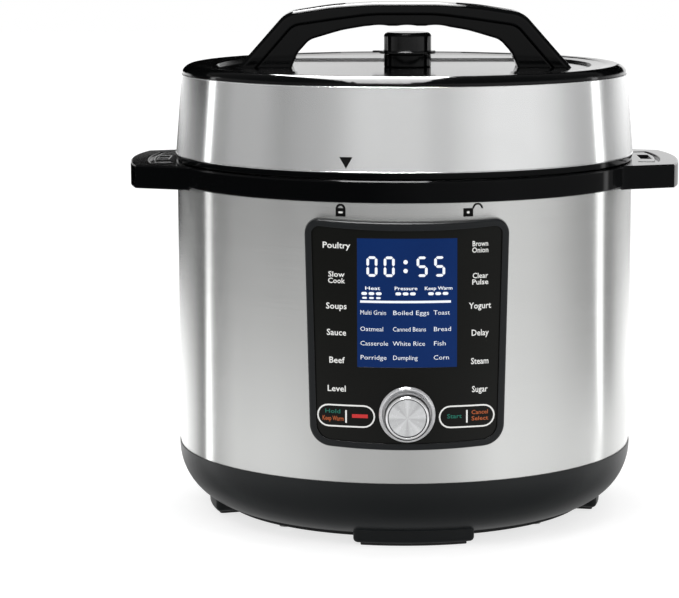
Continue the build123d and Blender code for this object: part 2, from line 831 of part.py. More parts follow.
def steam_valve():
    """The steam pipe through the lid, the valve seat round it, and the knob that turns on it."""
    pipe = turned(
        [
            (1.6, 233.0),
            (PIPE_R, 233.0),
            (PIPE_R, 241.4),
            (PIPE_R, 282.0),
            (3.0, 284.6),
            (1.6, 284.6),
        ]
    )
    keep(pipe, "steam_pipe", VALVE_X)
    with BuildPart() as nut:
        with BuildSketch(Plane.XY.offset(238.4)):
            RegularPolygon(8.0, 6)
            Circle(PIPE_R + 0.1, mode=Mode.SUBTRACT)
        extrude(amount=4.0)
    keep(nut, "pipe_nut", VALVE_X)
    seat = turned(
        [
            (PIPE_R + 0.1, LID_RECESS),
            (VALVE_R - 0.5, LID_RECESS),
            (VALVE_R, LID_RECESS + 0.5),
            (VALVE_R, 278.4),
            (VALVE_R - 0.6, 278.9),
            (12.2, 278.9),
            (12.2, 272.4),
            (PIPE_R + 0.1, 272.4),
        ]
    )
    keep(seat, "valve_seat", VALVE_X)
    with BuildPart() as knob:
        with BuildSketch(Plane.XZ):
            with BuildLine():
                Polyline(
                    (PIPE_R + RUNNING_GAP, 273.2),
                    (11.6, 273.2),
                    (11.6, 279.3),
                    (VALVE_FLANGE_R - 0.3, 279.3),
                    (VALVE_FLANGE_R, 279.6),
                    (VALVE_FLANGE_R, 280.5),
                    (VALVE_FLANGE_R - 0.4, 280.9),
                    (VALVE_R + 0.2, 280.9),
                    (VALVE_R + 0.2, VALVE_TOP - 2.2),
                    (VALVE_R - 0.6, VALVE_TOP - 0.8),
                    (VALVE_R - 2.2, VALVE_TOP),
                    (0, VALVE_TOP),
                    (0, 286.0),
                    (PIPE_R + RUNNING_GAP, 286.0),
                    close=True,
                )
            make_face()
        revolve(axis=Axis.Z)
        # The pointer on the flange
        with BuildSketch(Plane.XY.offset(279.5)):
            arc_sector(16.0, 21.6, 9.0, 163.0)
        extrude(amount=1.2)
    keep(knob, "valve_knob", VALVE_X)
    shield = turned(
        [(4.6, 238.4), (16.5, 238.4), (16.5, 229.0), (15.9, 229.0), (15.9, 237.8), (4.6, 237.8)]
    )
    with BuildPart() as guard:
        add(shield.part)
        with BuildSketch(Plane.XY.offset(228.4)):
            Circle(16.5)
            with PolarLocations(10.5, 10):
                Circle(1.6, mode=Mode.SUBTRACT)
            with PolarLocations(5.0, 6):
                Circle(1.4, mode=Mode.SUBTRACT)
        extrude(amount=0.7)
    keep(guard, "anti_block_shield", VALVE_X)


def float_valve():
    """The float pin that rises when there is pressure, its guide and its silicone cap."""
    spot = Location((0, FLOAT_Y, 0))
    pin = turned([(0, 236.0), (3.0, 236.0), (3.0, 268.8), (3.6, 269.2), (3.6, 270.2), (0, 270.2)])
    pin.part.move(spot)
    keep(pin, "float_pin")
    guide = turned(
        [(3.06, 240.9), (4.5, 240.9), (4.5, 243.6), (7.0, 243.6), (7.0, 251.0), (3.06, 251.0)]
    )
    guide.part.move(spot)
    keep(guide, "float_guide")
    cap = turned([(0, 234.4), (5.2, 234.4), (5.6, 235.0), (5.2, 236.0), (0, 236.0)])
    cap.part.move(spot)
    keep(cap, "float_seal")


# ---------------------------------------------------------------- condensation cup


def condensation_cup():
    """The clear cup that catches drips at the back, and the hood that it slides into."""
    with BuildPart() as hood:
        with BuildSketch(Plane.XY.offset(193.0)):
            with Locations((0, 146.0)):
                Rectangle(2 * CUP_HALF + 6, 19.0)
            Circle(SHELL_R + 0.02, mode=Mode.SUBTRACT)
        extrude(amount=COLLAR_Z0 - 193.0)
        with BuildSketch(Plane.XY.offset(193.0)):
            with Locations((0, 150.2)):
                Rectangle(2 * CUP_HALF - 3.4, 17.4)
        extrude(amount=7.5, mode=Mode.SUBTRACT)
        with BuildSketch(Plane.XY.offset(196.2)):
            with Locations((0, 150.2)):
                Rectangle(2 * CUP_HALF + 0.6, 17.4)
        extrude(amount=4.3, mode=Mode.SUBTRACT)
    keep(hood, "cup_hood")
    with BuildPart() as cup:
        with BuildSketch(Plane.XY.offset(158.0)):
            with Locations((0, 149.6)):
                Rectangle(2 * CUP_HALF - 4.0, 15.6)
                fillet(vertices_of_sketch(), 3.0)
        extrude(amount=38.5)
        with BuildSketch(Plane.XY.offset(196.5)):
            with Locations((0, 149.6)):
                Rectangle(2 * CUP_HALF, 15.6)
                fillet(vertices_of_sketch(), 3.0)
        extrude(amount=3.6)
        with BuildSketch(Plane.XY.offset(159.8)):
            with Locations((0, 149.6)):
                Rectangle(2 * CUP_HALF - 7.6, 12.0)
                fillet(vertices_of_sketch(), 2.0)
        extrude(amount=60, mode=Mode.SUBTRACT)
    keep(cup, "drip_cup")


def main():
    """Builds every piece in the order in which it would be assembled."""
    os.makedirs("parts", exist_ok=True)
    base_tray()
    foot_pads()
    bottom_cover()
    screws("cover_screws", polar(105.5, 4, 45 + FOOT_TURN), COVER_Z0, 3.6, 1.6, 1.9, 2.5)
    outer_shell()
    collar()
    screws("collar_screws", polar(119.8, 6, 30), HANDLE_Z0, 3.0, 2.0, 1.5, FLOOR_Z + 1.2 - HANDLE_Z0)
    outer_pot()
    heating_plate()
    screws("plate_screws", polar(70, 3, 90), 46.5, 4.0, 2.2, 1.7, 8.0)
    sensor_group()
    electronics()
    panel()
    dial()
    inner_pot()
    sealing_ring()
    pressure_lid()
    screws("lid_screws", polar(124.0, 4, 45), 228.3, 3.2, 2.0, 1.25, 12.0)
    lid_lip()
    lid_band()
    lid_cover()
    lid_handle()
    handle_spots = [(x, y) for x in (-79, 79) for y in (-8, 8)]
    screws("handle_screws", handle_spots, LID_UNDER, 3.6, 2.2, 1.75, 9.0)
    steam_valve()
    float_valve()
    condensation_cup()


main()
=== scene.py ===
"""Looks for an electric pressure cooker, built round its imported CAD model."""

import logging
import math
from dataclasses import dataclass, field
from enum import Enum

import bpy
from mathutils import Matrix, Vector


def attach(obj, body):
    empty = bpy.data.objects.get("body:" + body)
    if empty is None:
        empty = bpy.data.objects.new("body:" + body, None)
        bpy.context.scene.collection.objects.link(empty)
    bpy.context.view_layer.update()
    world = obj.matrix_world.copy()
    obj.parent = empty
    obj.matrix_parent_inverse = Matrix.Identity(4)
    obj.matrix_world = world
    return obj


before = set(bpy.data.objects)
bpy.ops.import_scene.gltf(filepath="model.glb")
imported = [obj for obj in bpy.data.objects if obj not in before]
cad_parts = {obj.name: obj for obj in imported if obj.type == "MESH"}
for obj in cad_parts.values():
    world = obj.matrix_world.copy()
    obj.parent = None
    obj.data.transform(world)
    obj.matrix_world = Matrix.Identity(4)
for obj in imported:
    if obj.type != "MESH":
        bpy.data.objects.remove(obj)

LOG = logging.getLogger("cooker")
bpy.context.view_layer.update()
MM = 0.001
Colour = tuple[float, float, float]
Point = tuple[float, float]
Spot = tuple[float, float, float]
Face = tuple[int, ...]
BARE_METAL: Colour = (0.92, 0.92, 0.92)
DUST_COLOUR: Colour = (0.45, 0.44, 0.42)
SMOOTHEST = 0.02
CAPITAL = 0.69
INK_IOR = 1.2
QUARTER_TURN = 0.25


def scaled(colour: Colour, factor: float) -> Colour:
    """Scales a colour by a factor, up to white."""
    return tuple(min(c * factor, 1.0) for c in colour)


class Body(Enum):
    """The CAD bodies that pieces ride on."""

    HOUSING = "housing"
    LID = "lid"
    KNOB = "selector_knob"


class Align(Enum):
    """Where a line of lettering sits against its anchor."""

    LEFT = "LEFT"
    CENTRE = "CENTER"


# ---------------------------------------------------------------- shader groups


class NodeTree:
    """Adds nodes to a shader tree and links them."""

    def __init__(self, tree: bpy.types.NodeTree) -> None:
        """Wraps a node tree.

        Args:
            tree: the tree of a material, a world or a node group.
        """
        self.tree = tree
        self.column = 0

    def add(self, kind: str, inputs: dict[str, object] | None = None, **settings: object) -> bpy.types.Node:
        """Adds a node.

        Args:
            kind: the node's type, without the leading "ShaderNode".
            inputs: socket name to a value, or to another node's output socket.
            settings: attributes to set on the node.

        Returns:
            The new node.
        """
        node = self.tree.nodes.new("ShaderNode" + kind)
        node.location = (self.column * 180, 0)
        self.column += 1
        for name, value in settings.items():
            setattr(node, name, value)
        for name, value in (inputs or {}).items():
            self.feed(node, name, value)
        return node

    def feed(self, node: bpy.types.Node, name: str | int, value: object) -> None:
        """Sets a socket of a node, or links another node's output to it.

        Args:
            node: the node whose socket is fed.
            name: the socket's name, or its number where names repeat.
            value: a plain value or an output socket.
        """
        socket = node.inputs[name]
        if isinstance(value, bpy.types.NodeSocket):
            self.tree.links.new(value, socket)
        elif isinstance(value, tuple) and len(value) == 3 and socket.type == "RGBA":
            socket.default_value = (*value, 1.0)
        else:
            socket.default_value = value

    def maths(self, operation: str, first: object, second: object = 0.0) -> bpy.types.NodeSocket:
        """Adds a Math node.

        Args:
            operation: the node's operation.
            first: the first value or socket.
            second: the second value or socket.

        Returns:
            The node's output socket.
        """
        node = self.add("Math", operation=operation)
        self.feed(node, 0, first)
        self.feed(node, 1, second)
        return node.outputs[0]

    def spread(self, value: bpy.types.NodeSocket, low: float, high: float) -> bpy.types.NodeSocket:
        """Maps a 0 to 1 value on to a range; see span for Args and Returns."""
        return self.span(value, 0.0, 1.0, low, high)

    def span(self, value: object, start: float, end: float, low: float, high: float) -> bpy.types.NodeSocket:
        """Maps one range of a value on to another, and holds it at the ends.

        Args:
            value: the socket to map.
            start: where the first range starts.
            end: where the first range ends.
            low: the result at its start.
            high: the result at its end.

        Returns:
            The mapped socket.
        """
        ranges = {"From Min": start, "From Max": end, "To Min": low, "To Max": high}
        return self.add("MapRange", {"Value": value, **ranges}).outputs["Result"]

    def blend(self, mask: object, first: object, second: object) -> bpy.types.NodeSocket:
        """Mixes two colours by a mask.

        Args:
            mask: 0 gives the first colour and 1 the second.
            first: a colour or a socket.
            second: a colour or a socket.

        Returns:
            The mixed colour's socket.
        """
        node = self.add("Mix", data_type="RGBA")
        self.feed(node, 0, mask)
        self.feed(node, 6, first)
        self.feed(node, 7, second)
        return node.outputs[2]

    def bump(
        self, shader: bpy.types.Node, height: object, strength: float, depth: float, normal: object = None
    ) -> None:
        """Feeds a shader's normal from a height.

        Args:
            shader: the shader that takes the normal.
            height: the height's socket.
            strength: how much of it shows, 0 to 1.
            depth: its depth in metres.
            normal: the socket of the normal under it, where that isn't the true one.
        """
        node = self.add("Bump", {"Strength": strength, "Distance": depth, "Height": height})
        if normal is not None:
            self.feed(node, "Normal", normal)
        self.feed(shader, "Normal", node.outputs[0])


@dataclass(frozen=True)
class SurfaceEffect:
    """A shader group that several finishes share."""

    name: str
    inputs: tuple[tuple[str, float], ...]
    outputs: tuple[tuple[str, str], ...]

    def group(self) -> bpy.types.NodeTree:
        """Returns the group, built on its first use."""
        if self.name in bpy.data.node_groups:
            return bpy.data.node_groups[self.name]
        tree = bpy.data.node_groups.new(self.name, "ShaderNodeTree")
        for label, value in self.inputs:
            socket = tree.interface.new_socket(name=label, in_out="INPUT", socket_type="NodeSocketFloat")
            socket.default_value = value
        for label, kind in self.outputs:
            tree.interface.new_socket(name=label, in_out="OUTPUT", socket_type=kind)
        nodes = NodeTree(tree)
        source = tree.nodes.new("NodeGroupInput")
        sink = tree.nodes.new("NodeGroupOutput")
        for label, socket in self.wire(nodes, source).items():
            tree.links.new(socket, sink.inputs[label])
        return tree

    def wire(self, nodes: NodeTree, source: bpy.types.Node) -> dict[str, bpy.types.NodeSocket]:
        """Builds the inside of the group.

        Args:
            nodes: the group's tree.
            source: the group's input node.

        Returns:
            Output name to the socket that feeds it.
        """
        raise NotImplementedError

    def place(self, nodes: NodeTree, **values: object) -> bpy.types.Node:
        """Places the group in a material with its own values.

        Args:
            nodes: the material's tree.
            values: input name, with underscores for spaces, to a value or a socket.

        Returns:
            The group node.
        """
        node = nodes.tree.nodes.new("ShaderNodeGroup")
        node.node_tree = self.group()
        for name, value in values.items():
            nodes.feed(node, name.replace("_", " "), value)
        return node


class MouldedGrain(SurfaceEffect):
    """The fine spark-eroded texture of moulded plastic, with slow unevenness under it."""

    def wire(self, nodes: NodeTree, source: bpy.types.Node) -> dict[str, bpy.types.NodeSocket]:
        """Mixes a fine noise with a slow one; see SurfaceEffect.wire for Args and Returns."""
        place = nodes.add("TexCoord").outputs["Object"]
        fine = nodes.add("TexNoise", {"Vector": place, "Scale": source.outputs["Scale"], "Detail": 3.0})
        slow = nodes.add("TexNoise", {"Vector": place, "Scale": 14.0, "Detail": 2.0})
        drift = nodes.maths("MULTIPLY", slow.outputs[0], source.outputs["Drift"])
        both = nodes.maths("ADD", fine.outputs[0], drift)
        return {"Fine": fine.outputs[0], "Slow": slow.outputs[0], "Sum": both}


class BrushLines(SurfaceEffect):
    """Fine brushed lines that run round an axis through the origin."""

    def wire(self, nodes: NodeTree, source: bpy.types.Node) -> dict[str, bpy.types.NodeSocket]:
        """Stretches a noise round Z; see SurfaceEffect.wire for Args and Returns."""
        place = nodes.add("TexCoord").outputs["Object"]
        parts = nodes.add("SeparateXYZ", {"Vector": place})
        along = source.outputs["Along"]
        across = source.outputs["Across"]
        stretched = nodes.add("CombineXYZ")
        nodes.feed(stretched, 0, nodes.maths("MULTIPLY", parts.outputs[0], along))
        nodes.feed(stretched, 1, nodes.maths("MULTIPLY", parts.outputs[1], along))
        nodes.feed(stretched, 2, nodes.maths("MULTIPLY", parts.outputs[2], across))
        texture = {"Vector": stretched.outputs[0], "Scale": 1.0, "Detail": 4.0, "Roughness": 0.7}
        return {"Lines": nodes.add("TexNoise", texture).outputs[0]}


class EdgeWear(SurfaceEffect):
    """Softly rounded edges, and a mask of where they are rubbed."""

    def wire(self, nodes: NodeTree, source: bpy.types.Node) -> dict[str, bpy.types.NodeSocket]:
        """Compares a bevelled normal with the true one; see SurfaceEffect.wire for Args and Returns."""
        soft = nodes.add("Bevel", {"Radius": source.outputs["Radius"]}, samples=4)
        true = nodes.add("NewGeometry").outputs["Normal"]
        dot = nodes.add("VectorMath", operation="DOT_PRODUCT")
        nodes.feed(dot, 0, soft.outputs[0])
        nodes.feed(dot, 1, true)
        turned = nodes.maths("SUBTRACT", 1.0, dot.outputs["Value"])
        place = nodes.add("TexCoord").outputs["Object"]
        patchy = nodes.add("TexNoise", {"Vector": place, "Scale": 120.0, "Detail": 3.0})
        patches = nodes.maths("MULTIPLY", patchy.outputs[0], source.outputs["Wear"])
        rubbed = nodes.maths("MULTIPLY", turned, patches)
        clipped = nodes.maths("MINIMUM", rubbed, 1.0)
        return {"Normal": soft.outputs[0], "Mask": clipped}


class Handling(SurfaceEffect):
    """The faint dust, wiping marks and finger marks of a clean kitchen appliance."""

    def wire(self, nodes: NodeTree, source: bpy.types.Node) -> dict[str, bpy.types.NodeSocket]:
        """Gathers slow smears and tiny specks; see SurfaceEffect.wire for Args and Returns."""
        place = nodes.add("TexCoord").outputs["Object"]
        smear = nodes.add("TexNoise", {"Vector": place, "Scale": 22.0, "Detail": 4.0, "Distortion": 1.2})
        speck = nodes.add("TexVoronoi", {"Vector": place, "Scale": 420.0})
        near = nodes.maths("LESS_THAN", speck.outputs["Distance"], 0.09)
        up = nodes.add("SeparateXYZ", {"Vector": nodes.add("NewGeometry").outputs["Normal"]}).outputs[2]
        level = nodes.maths("MAXIMUM", up, 0.0)
        dust = nodes.maths("MULTIPLY", nodes.maths("MULTIPLY", near, level), source.outputs["Dust"])
        return {"Smear": smear.outputs[0], "Dust": dust}


VALUE = "NodeSocketFloat"
VECTOR = "NodeSocketVector"
GRAIN = MouldedGrain(
    "moulded_grain", (("Scale", 1500.0), ("Drift", 0.5)), (("Fine", VALUE), ("Slow", VALUE), ("Sum", VALUE))
)
BRUSH = BrushLines("brush_lines", (("Along", 6.0), ("Across", 2600.0)), (("Lines", VALUE),))
EDGES = EdgeWear("edge_wear", (("Radius", 0.0005), ("Wear", 1.0)), (("Normal", VECTOR), ("Mask", VALUE)))
HANDLING = Handling("handling", (("Dust", 0.1),), (("Smear", VALUE), ("Dust", VALUE)))


# ---------------------------------------------------------------- finishes


BUILT: dict[str, bpy.types.Material] = {}


@dataclass(frozen=True)
class Finish:
    """A finish with a base colour and a roughness."""

    name: str
    colour: Colour
    roughness: float

    def material(self) -> bpy.types.Material:
        """Returns the finish's material, built on its first use."""
        if self.name in BUILT:
            return BUILT[self.name]
        made = bpy.data.materials.new(self.name)
        BUILT[self.name] = made
        made.use_nodes = True
        nodes = NodeTree(made.node_tree)
        shader = made.node_tree.nodes["Principled BSDF"]
        nodes.feed(shader, "Roughness", self.roughness)
        self.dress(nodes, shader)
        return made

    def dress(self, nodes: NodeTree, shader: bpy.types.Node) -> None:
        """Wires the finish to its shader.

        Args:
            nodes: the material's tree.
            shader: the material's Principled BSDF.
        """
        raise NotImplementedError

    def roughen(
        self, nodes: NodeTree, shader: bpy.types.Node, mask: bpy.types.NodeSocket, less: float, more: float
    ) -> None:
        """Varies the roughness.

        Args:
            nodes: the material's tree.
            shader: its shader.
            mask: 0 where the finish is smoothest, 1 where it is roughest.
            less: how much smoother than the finish's own roughness it gets.
            more: how much rougher it gets.
        """
        low = max(self.roughness - less, SMOOTHEST)
        nodes.feed(shader, "Roughness", nodes.spread(mask, low, self.roughness + more))


@dataclass(frozen=True)
class Plastic(Finish):
    """Moulded plastic or rubber, from gloss to matt."""

    grain_scale: float = 1500.0
    grain_depth: float = 0.05
    spread: float = 0.05
    edge_radius: float = 0.0005
    rub: Colour = (0.16, 0.16, 0.16)
    wear: float = 0.6
    dust: float = 0.12
    ior: float = 1.3

    def dress(self, nodes: NodeTree, shader: bpy.types.Node) -> None:
        """Wires grain, edge wear and handling; see Finish.dress for Args."""
        grain = GRAIN.place(nodes, Scale=self.grain_scale)
        edges = EDGES.place(nodes, Radius=self.edge_radius, Wear=self.wear)
        marks = HANDLING.place(nodes, Dust=self.dust)
        tone = nodes.blend(grain.outputs["Slow"], self.colour, scaled(self.colour, 0.86))
        rubbed = nodes.blend(edges.outputs["Mask"], tone, self.rub)
        nodes.feed(shader, "Base Color", nodes.blend(marks.outputs["Dust"], rubbed, DUST_COLOUR))
        low = max(self.roughness - self.spread, SMOOTHEST)
        rough = nodes.spread(marks.outputs["Smear"], low, self.roughness + self.spread)
        rubbing = nodes.maths("MULTIPLY", edges.outputs["Mask"], 0.15)
        nodes.feed(shader, "Roughness", nodes.maths("ADD", rough, rubbing))
        nodes.bump(shader, grain.outputs["Sum"], self.grain_depth, 0.0002, edges.outputs["Normal"])
        nodes.feed(shader, "IOR", self.ior)


@dataclass(frozen=True)
class BrushedMetal(Finish):
    """Sheet metal with fine lines brushed round an axis."""

    anisotropy: float = 1.0
    along: float = 6.0
    across: float = 2600.0
    line_depth: float = 0.04
    spread: float = 0.02

    def dress(self, nodes: NodeTree, shader: bpy.types.Node) -> None:
        """Wires the brushed lines and the stretched highlight; see Finish.dress for Args."""
        brush = BRUSH.place(nodes, Along=self.along, Across=self.across)
        marks = HANDLING.place(nodes, Dust=0.0)
        tone = nodes.blend(brush.outputs["Lines"], scaled(self.colour, 0.9), self.colour)
        nodes.feed(shader, "Base Color", tone)
        nodes.feed(shader, "Metallic", 1.0)
        low, high = self.roughness - self.spread, self.roughness + self.spread
        rough = nodes.spread(brush.outputs["Lines"], low, high)
        smear = nodes.spread(marks.outputs["Smear"], -0.015, 0.015)
        nodes.feed(shader, "Roughness", nodes.maths("ADD", rough, smear))
        nodes.bump(shader, brush.outputs["Lines"], self.line_depth, 0.00005)
        nodes.feed(shader, "Anisotropic", self.anisotropy)
        nodes.feed(shader, "Anisotropic Rotation", QUARTER_TURN)
        tangent = nodes.add("Tangent", direction_type="RADIAL", axis="Z")
        nodes.feed(shader, "Tangent", tangent.outputs[0])


@dataclass(frozen=True)
class SpunMetal(Finish):
    """A turned metal face, with painted highlight: fans of light and dark round its centre that stand in for
    the lights it mirrors.
    """

    centre: Spot = (0.0, 0.0, 0.0)
    fans: float = 5.0
    contrast: float = 0.35
    metallic: float = 1.0

    def dress(self, nodes: NodeTree, shader: bpy.types.Node) -> None:
        """Wires the painted highlight fans and the turning lines; see Finish.dress for Args."""
        place = nodes.add("TexCoord").outputs["Object"]
        moved = nodes.add("VectorMath", operation="SUBTRACT")
        nodes.feed(moved, 0, place)
        nodes.feed(moved, 1, self.centre)
        parts = nodes.add("SeparateXYZ", {"Vector": moved.outputs[0]})
        angle = nodes.maths("ARCTAN2", parts.outputs[2], parts.outputs[0])
        radius = nodes.add("VectorMath", {0: moved.outputs[0]}, operation="LENGTH")
        # Painted highlight and shade: wedges of light and dark round the centre, in the base colour.
        wave = nodes.maths("SINE", nodes.maths("MULTIPLY", angle, self.fans))
        wave_fine = nodes.maths("SINE", nodes.maths("MULTIPLY", angle, self.fans * 2 + 3))
        broad, narrow = nodes.maths("MULTIPLY", wave, 0.32), nodes.maths("MULTIPLY", wave_fine, 0.18)
        painted_light_fan = nodes.maths("ADD", nodes.maths("ADD", broad, narrow), 0.5)
        rings = nodes.add("TexNoise", noise_dimensions="1D")
        nodes.feed(rings, "W", nodes.maths("MULTIPLY", radius.outputs["Value"], 9000.0))
        painted_shade_colour = scaled(self.colour, 1.0 - self.contrast)
        nodes.feed(shader, "Base Color", nodes.blend(painted_light_fan, painted_shade_colour, self.colour))
        nodes.feed(shader, "Metallic", self.metallic)
        self.roughen(nodes, shader, rings.outputs[0], 0.06, 0.06)
        nodes.bump(shader, rings.outputs[0], 0.15, 0.00003)


@dataclass(frozen=True)
class PlainMetal(Finish):
    """Polished, plated, cast or pressed metal with no lines."""

    grain_scale: float = 600.0
    grain_depth: float = 0.05
    spread: float = 0.05
    edge_radius: float = 0.0003
    metallic: float = 1.0

    def dress(self, nodes: NodeTree, shader: bpy.types.Node) -> None:
        """Wires grain, handling and soft edges; see Finish.dress for Args."""
        grain = GRAIN.place(nodes, Scale=self.grain_scale)
        marks = HANDLING.place(nodes, Dust=0.0)
        edges = EDGES.place(nodes, Radius=self.edge_radius, Wear=0.4)
        tone = nodes.blend(grain.outputs["Slow"], scaled(self.colour, 0.84), self.colour)
        nodes.feed(shader, "Base Color", nodes.blend(edges.outputs["Mask"], tone, BARE_METAL))
        nodes.feed(shader, "Metallic", self.metallic)
        self.roughen(nodes, shader, marks.outputs["Smear"], self.spread, self.spread)
        nodes.bump(shader, grain.outputs["Fine"], self.grain_depth, 0.0002, edges.outputs["Normal"])


@dataclass(frozen=True)
class Ink(Finish):
    """Printed or lit marks, very slightly mottled; on printed marks the glow is painted light."""

    glow: float = 0.0

    def dress(self, nodes: NodeTree, shader: bpy.types.Node) -> None:
        """Wires the mottled ink; see Finish.dress for Args."""
        grain = GRAIN.place(nodes, Scale=2500.0)
        tone = nodes.blend(grain.outputs["Fine"], self.colour, scaled(self.colour, 0.8))
        nodes.feed(shader, "Base Color", tone)
        self.roughen(nodes, shader, grain.outputs["Slow"], 0.08, 0.08)
        nodes.feed(shader, "IOR", INK_IOR)
        # On the display's lit marks the glow is their own light; on printed marks it is painted glow.
        if self.glow:
            nodes.feed(shader, "Emission Color", tone)
            nodes.feed(shader, "Emission Strength", self.glow)


@dataclass(frozen=True)
class DisplayGlass(Finish):
    """A lit blue display behind a gloss window, with the speckle of its back light."""

    glow: float = 0.6

    def dress(self, nodes: NodeTree, shader: bpy.types.Node) -> None:
        """Wires the speckled back light; see Finish.dress for Args."""
        place = nodes.add("TexCoord").outputs["Object"]
        speckle = nodes.add("TexNoise", {"Vector": place, "Scale": 900.0, "Detail": 3.0})
        pool = nodes.add("TexNoise", {"Vector": place, "Scale": 22.0, "Detail": 1.0})
        light = nodes.blend(speckle.outputs[0], scaled(self.colour, 0.72), self.colour)
        lit = nodes.blend(pool.outputs[0], light, scaled(self.colour, 1.15))
        nodes.feed(shader, "Base Color", lit)
        nodes.feed(shader, "Emission Color", lit)
        nodes.feed(shader, "Emission Strength", self.glow)
        nodes.feed(shader, "IOR", INK_IOR)
        self.roughen(nodes, shader, pool.outputs[0], 0.02, 0.04)


@dataclass(frozen=True)
class ClearPlastic(Finish):
    """Clear moulded plastic with faint flow marks."""

    def dress(self, nodes: NodeTree, shader: bpy.types.Node) -> None:
        """Wires the clear plastic; see Finish.dress for Args."""
        marks = HANDLING.place(nodes, Dust=0.2)
        smear = marks.outputs["Smear"]
        nodes.feed(shader, "Base Color", nodes.blend(smear, self.colour, scaled(self.colour, 1.06)))
        self.roughen(nodes, shader, smear, 0.04, 0.06)
        nodes.feed(shader, "Transmission Weight", 0.9)
        nodes.feed(shader, "IOR", 1.49)


@dataclass(frozen=True)
class CircuitBoard(Finish):
    """Laminate with copper tracks under the lacquer."""

    track: Colour = (0.1, 0.4, 0.2)

    def dress(self, nodes: NodeTree, shader: bpy.types.Node) -> None:
        """Wires the tracks and the weave; see Finish.dress for Args."""
        place = nodes.add("TexCoord").outputs["Object"]
        scale = (180.0, 180.0, 180.0)
        turned = nodes.add("Mapping", {"Vector": place, "Rotation": (0.3, 0.2, 0.785), "Scale": scale})
        cells = nodes.add("TexVoronoi", {"Vector": turned.outputs[0], "Scale": 1.0}, distance="MANHATTAN")
        ripples = nodes.maths("SINE", nodes.maths("MULTIPLY", cells.outputs["Distance"], 18.0))
        tracks = nodes.maths("GREATER_THAN", ripples, 0.2)
        weave = nodes.add("TexNoise", {"Vector": place, "Scale": 900.0})
        base = nodes.blend(weave.outputs[0], self.colour, scaled(self.colour, 0.8))
        nodes.feed(shader, "Base Color", nodes.blend(tracks, base, self.track))
        self.roughen(nodes, shader, weave.outputs[0], 0.1, 0.1)
        nodes.bump(shader, tracks, 0.3, 0.0001)


STEEL = BrushedMetal("drum_steel", (0.68, 0.685, 0.675), 0.2, line_depth=0.015)
EDGE_STEEL = PlainMetal("edge_steel", (0.86, 0.865, 0.865), 0.2, grain_depth=0.02)
BAND_STEEL = BrushedMetal("band_steel", (0.74, 0.745, 0.745), 0.2, line_depth=0.015)
POT_STEEL = BrushedMetal("pot_steel", (0.66, 0.665, 0.66), 0.3, across=1800.0)
PRESSED_STEEL = PlainMetal("pressed_steel", (0.58, 0.585, 0.59), 0.3, grain_scale=900.0)
SCREW_STEEL = PlainMetal("zinc_plate", (0.5, 0.5, 0.49), 0.32)
CAST = PlainMetal("cast_aluminium", (0.56, 0.56, 0.57), 0.5, grain_scale=700.0, grain_depth=0.4)
# Half of this finish is diffuse white, a painted reflection that stands in for the bright studio a chrome
# dial mirrors.
DIAL_SILVER = PlainMetal(
    "dial_silver", (0.93, 0.93, 0.94), 0.16, grain_depth=0.01, spread=0.03, metallic=0.5
)
BRASS = PlainMetal("brass", (0.78, 0.6, 0.3), 0.28)
POLISHED = PlainMetal("polished_steel", (0.75, 0.75, 0.76), 0.16)
GLOSS_BLACK = Plastic(
    "gloss_black", (0.0022, 0.0024, 0.0026), 0.07, 90.0, 0.01, 0.02,
    edge_radius=0.0011, wear=0.25, dust=0.05, ior=1.23,
)
VALVE_BLACK = Plastic(
    "valve_black", (0.003, 0.003, 0.0033), 0.1, grain_depth=0.02, edge_radius=0.0009, wear=0.3, ior=1.32
)
SATIN_BLACK = Plastic("satin_black", (0.006, 0.0062, 0.0065), 0.3, grain_depth=0.08)
FRAME_BLACK = Plastic("frame_black", (0.013, 0.0142, 0.0152), 0.3, grain_depth=0.06, ior=1.24)
BASE_BLACK = Plastic("base_black", (0.0075, 0.0088, 0.0094), 0.34, grain_depth=0.1, edge_radius=0.0008)
COVER_BLACK = Plastic("cover_black", (0.01, 0.0105, 0.011), 0.55, grain_depth=0.15)
FACE_BLACK = Plastic(
    "face_black", (0.0052, 0.0054, 0.0046), 0.22, grain_depth=0.01, spread=0.03, wear=0.2, ior=1.25
)
RUBBER = Plastic("foot_rubber", (0.02, 0.02, 0.02), 0.75, grain_depth=0.3, wear=1.2)
SILICONE = Plastic("silicone", (0.74, 0.74, 0.71), 0.5, rub=(0.8, 0.8, 0.78), grain_depth=0.06)
PART_BLACK = Plastic("part_black", (0.03, 0.03, 0.03), 0.5)
PART_BLUE = Plastic("part_blue", (0.03, 0.09, 0.33), 0.45)
PART_YELLOW = Plastic("part_yellow", (0.7, 0.48, 0.06), 0.5)
CLEAR = ClearPlastic("clear_plastic", (0.86, 0.89, 0.9), 0.12)
BLUE_DISPLAY = DisplayGlass("blue_display", (0.0024, 0.0155, 0.078), 0.18, glow=0.42)
GREEN_BOARD = CircuitBoard("green_board", (0.02, 0.16, 0.06), 0.4)
TAN_BOARD = CircuitBoard("tan_board", (0.45, 0.3, 0.12), 0.5, track=(0.55, 0.4, 0.2))
# WHITE_INK, GREEN_INK, ORANGE_INK and RED_INK are printed, so their glow is painted light; LIT_WHITE is lit
# by the display.
WHITE_INK = Ink("white_ink", (0.8, 0.8, 0.78), 0.5, glow=0.12)
LIT_WHITE = Ink("lit_white", (0.78, 0.82, 0.88), 0.4, glow=0.3)
BLACK_INK = Ink("black_ink", (0.004, 0.004, 0.004), 0.6)
GREEN_INK = Ink("green_ink", (0.018, 0.14, 0.1), 0.5, glow=0.2)
ORANGE_INK = Ink("orange_ink", (0.4, 0.1, 0.035), 0.5, glow=0.2)
RED_INK = Ink("red_ink", (0.52, 0.035, 0.035), 0.5, glow=0.2)

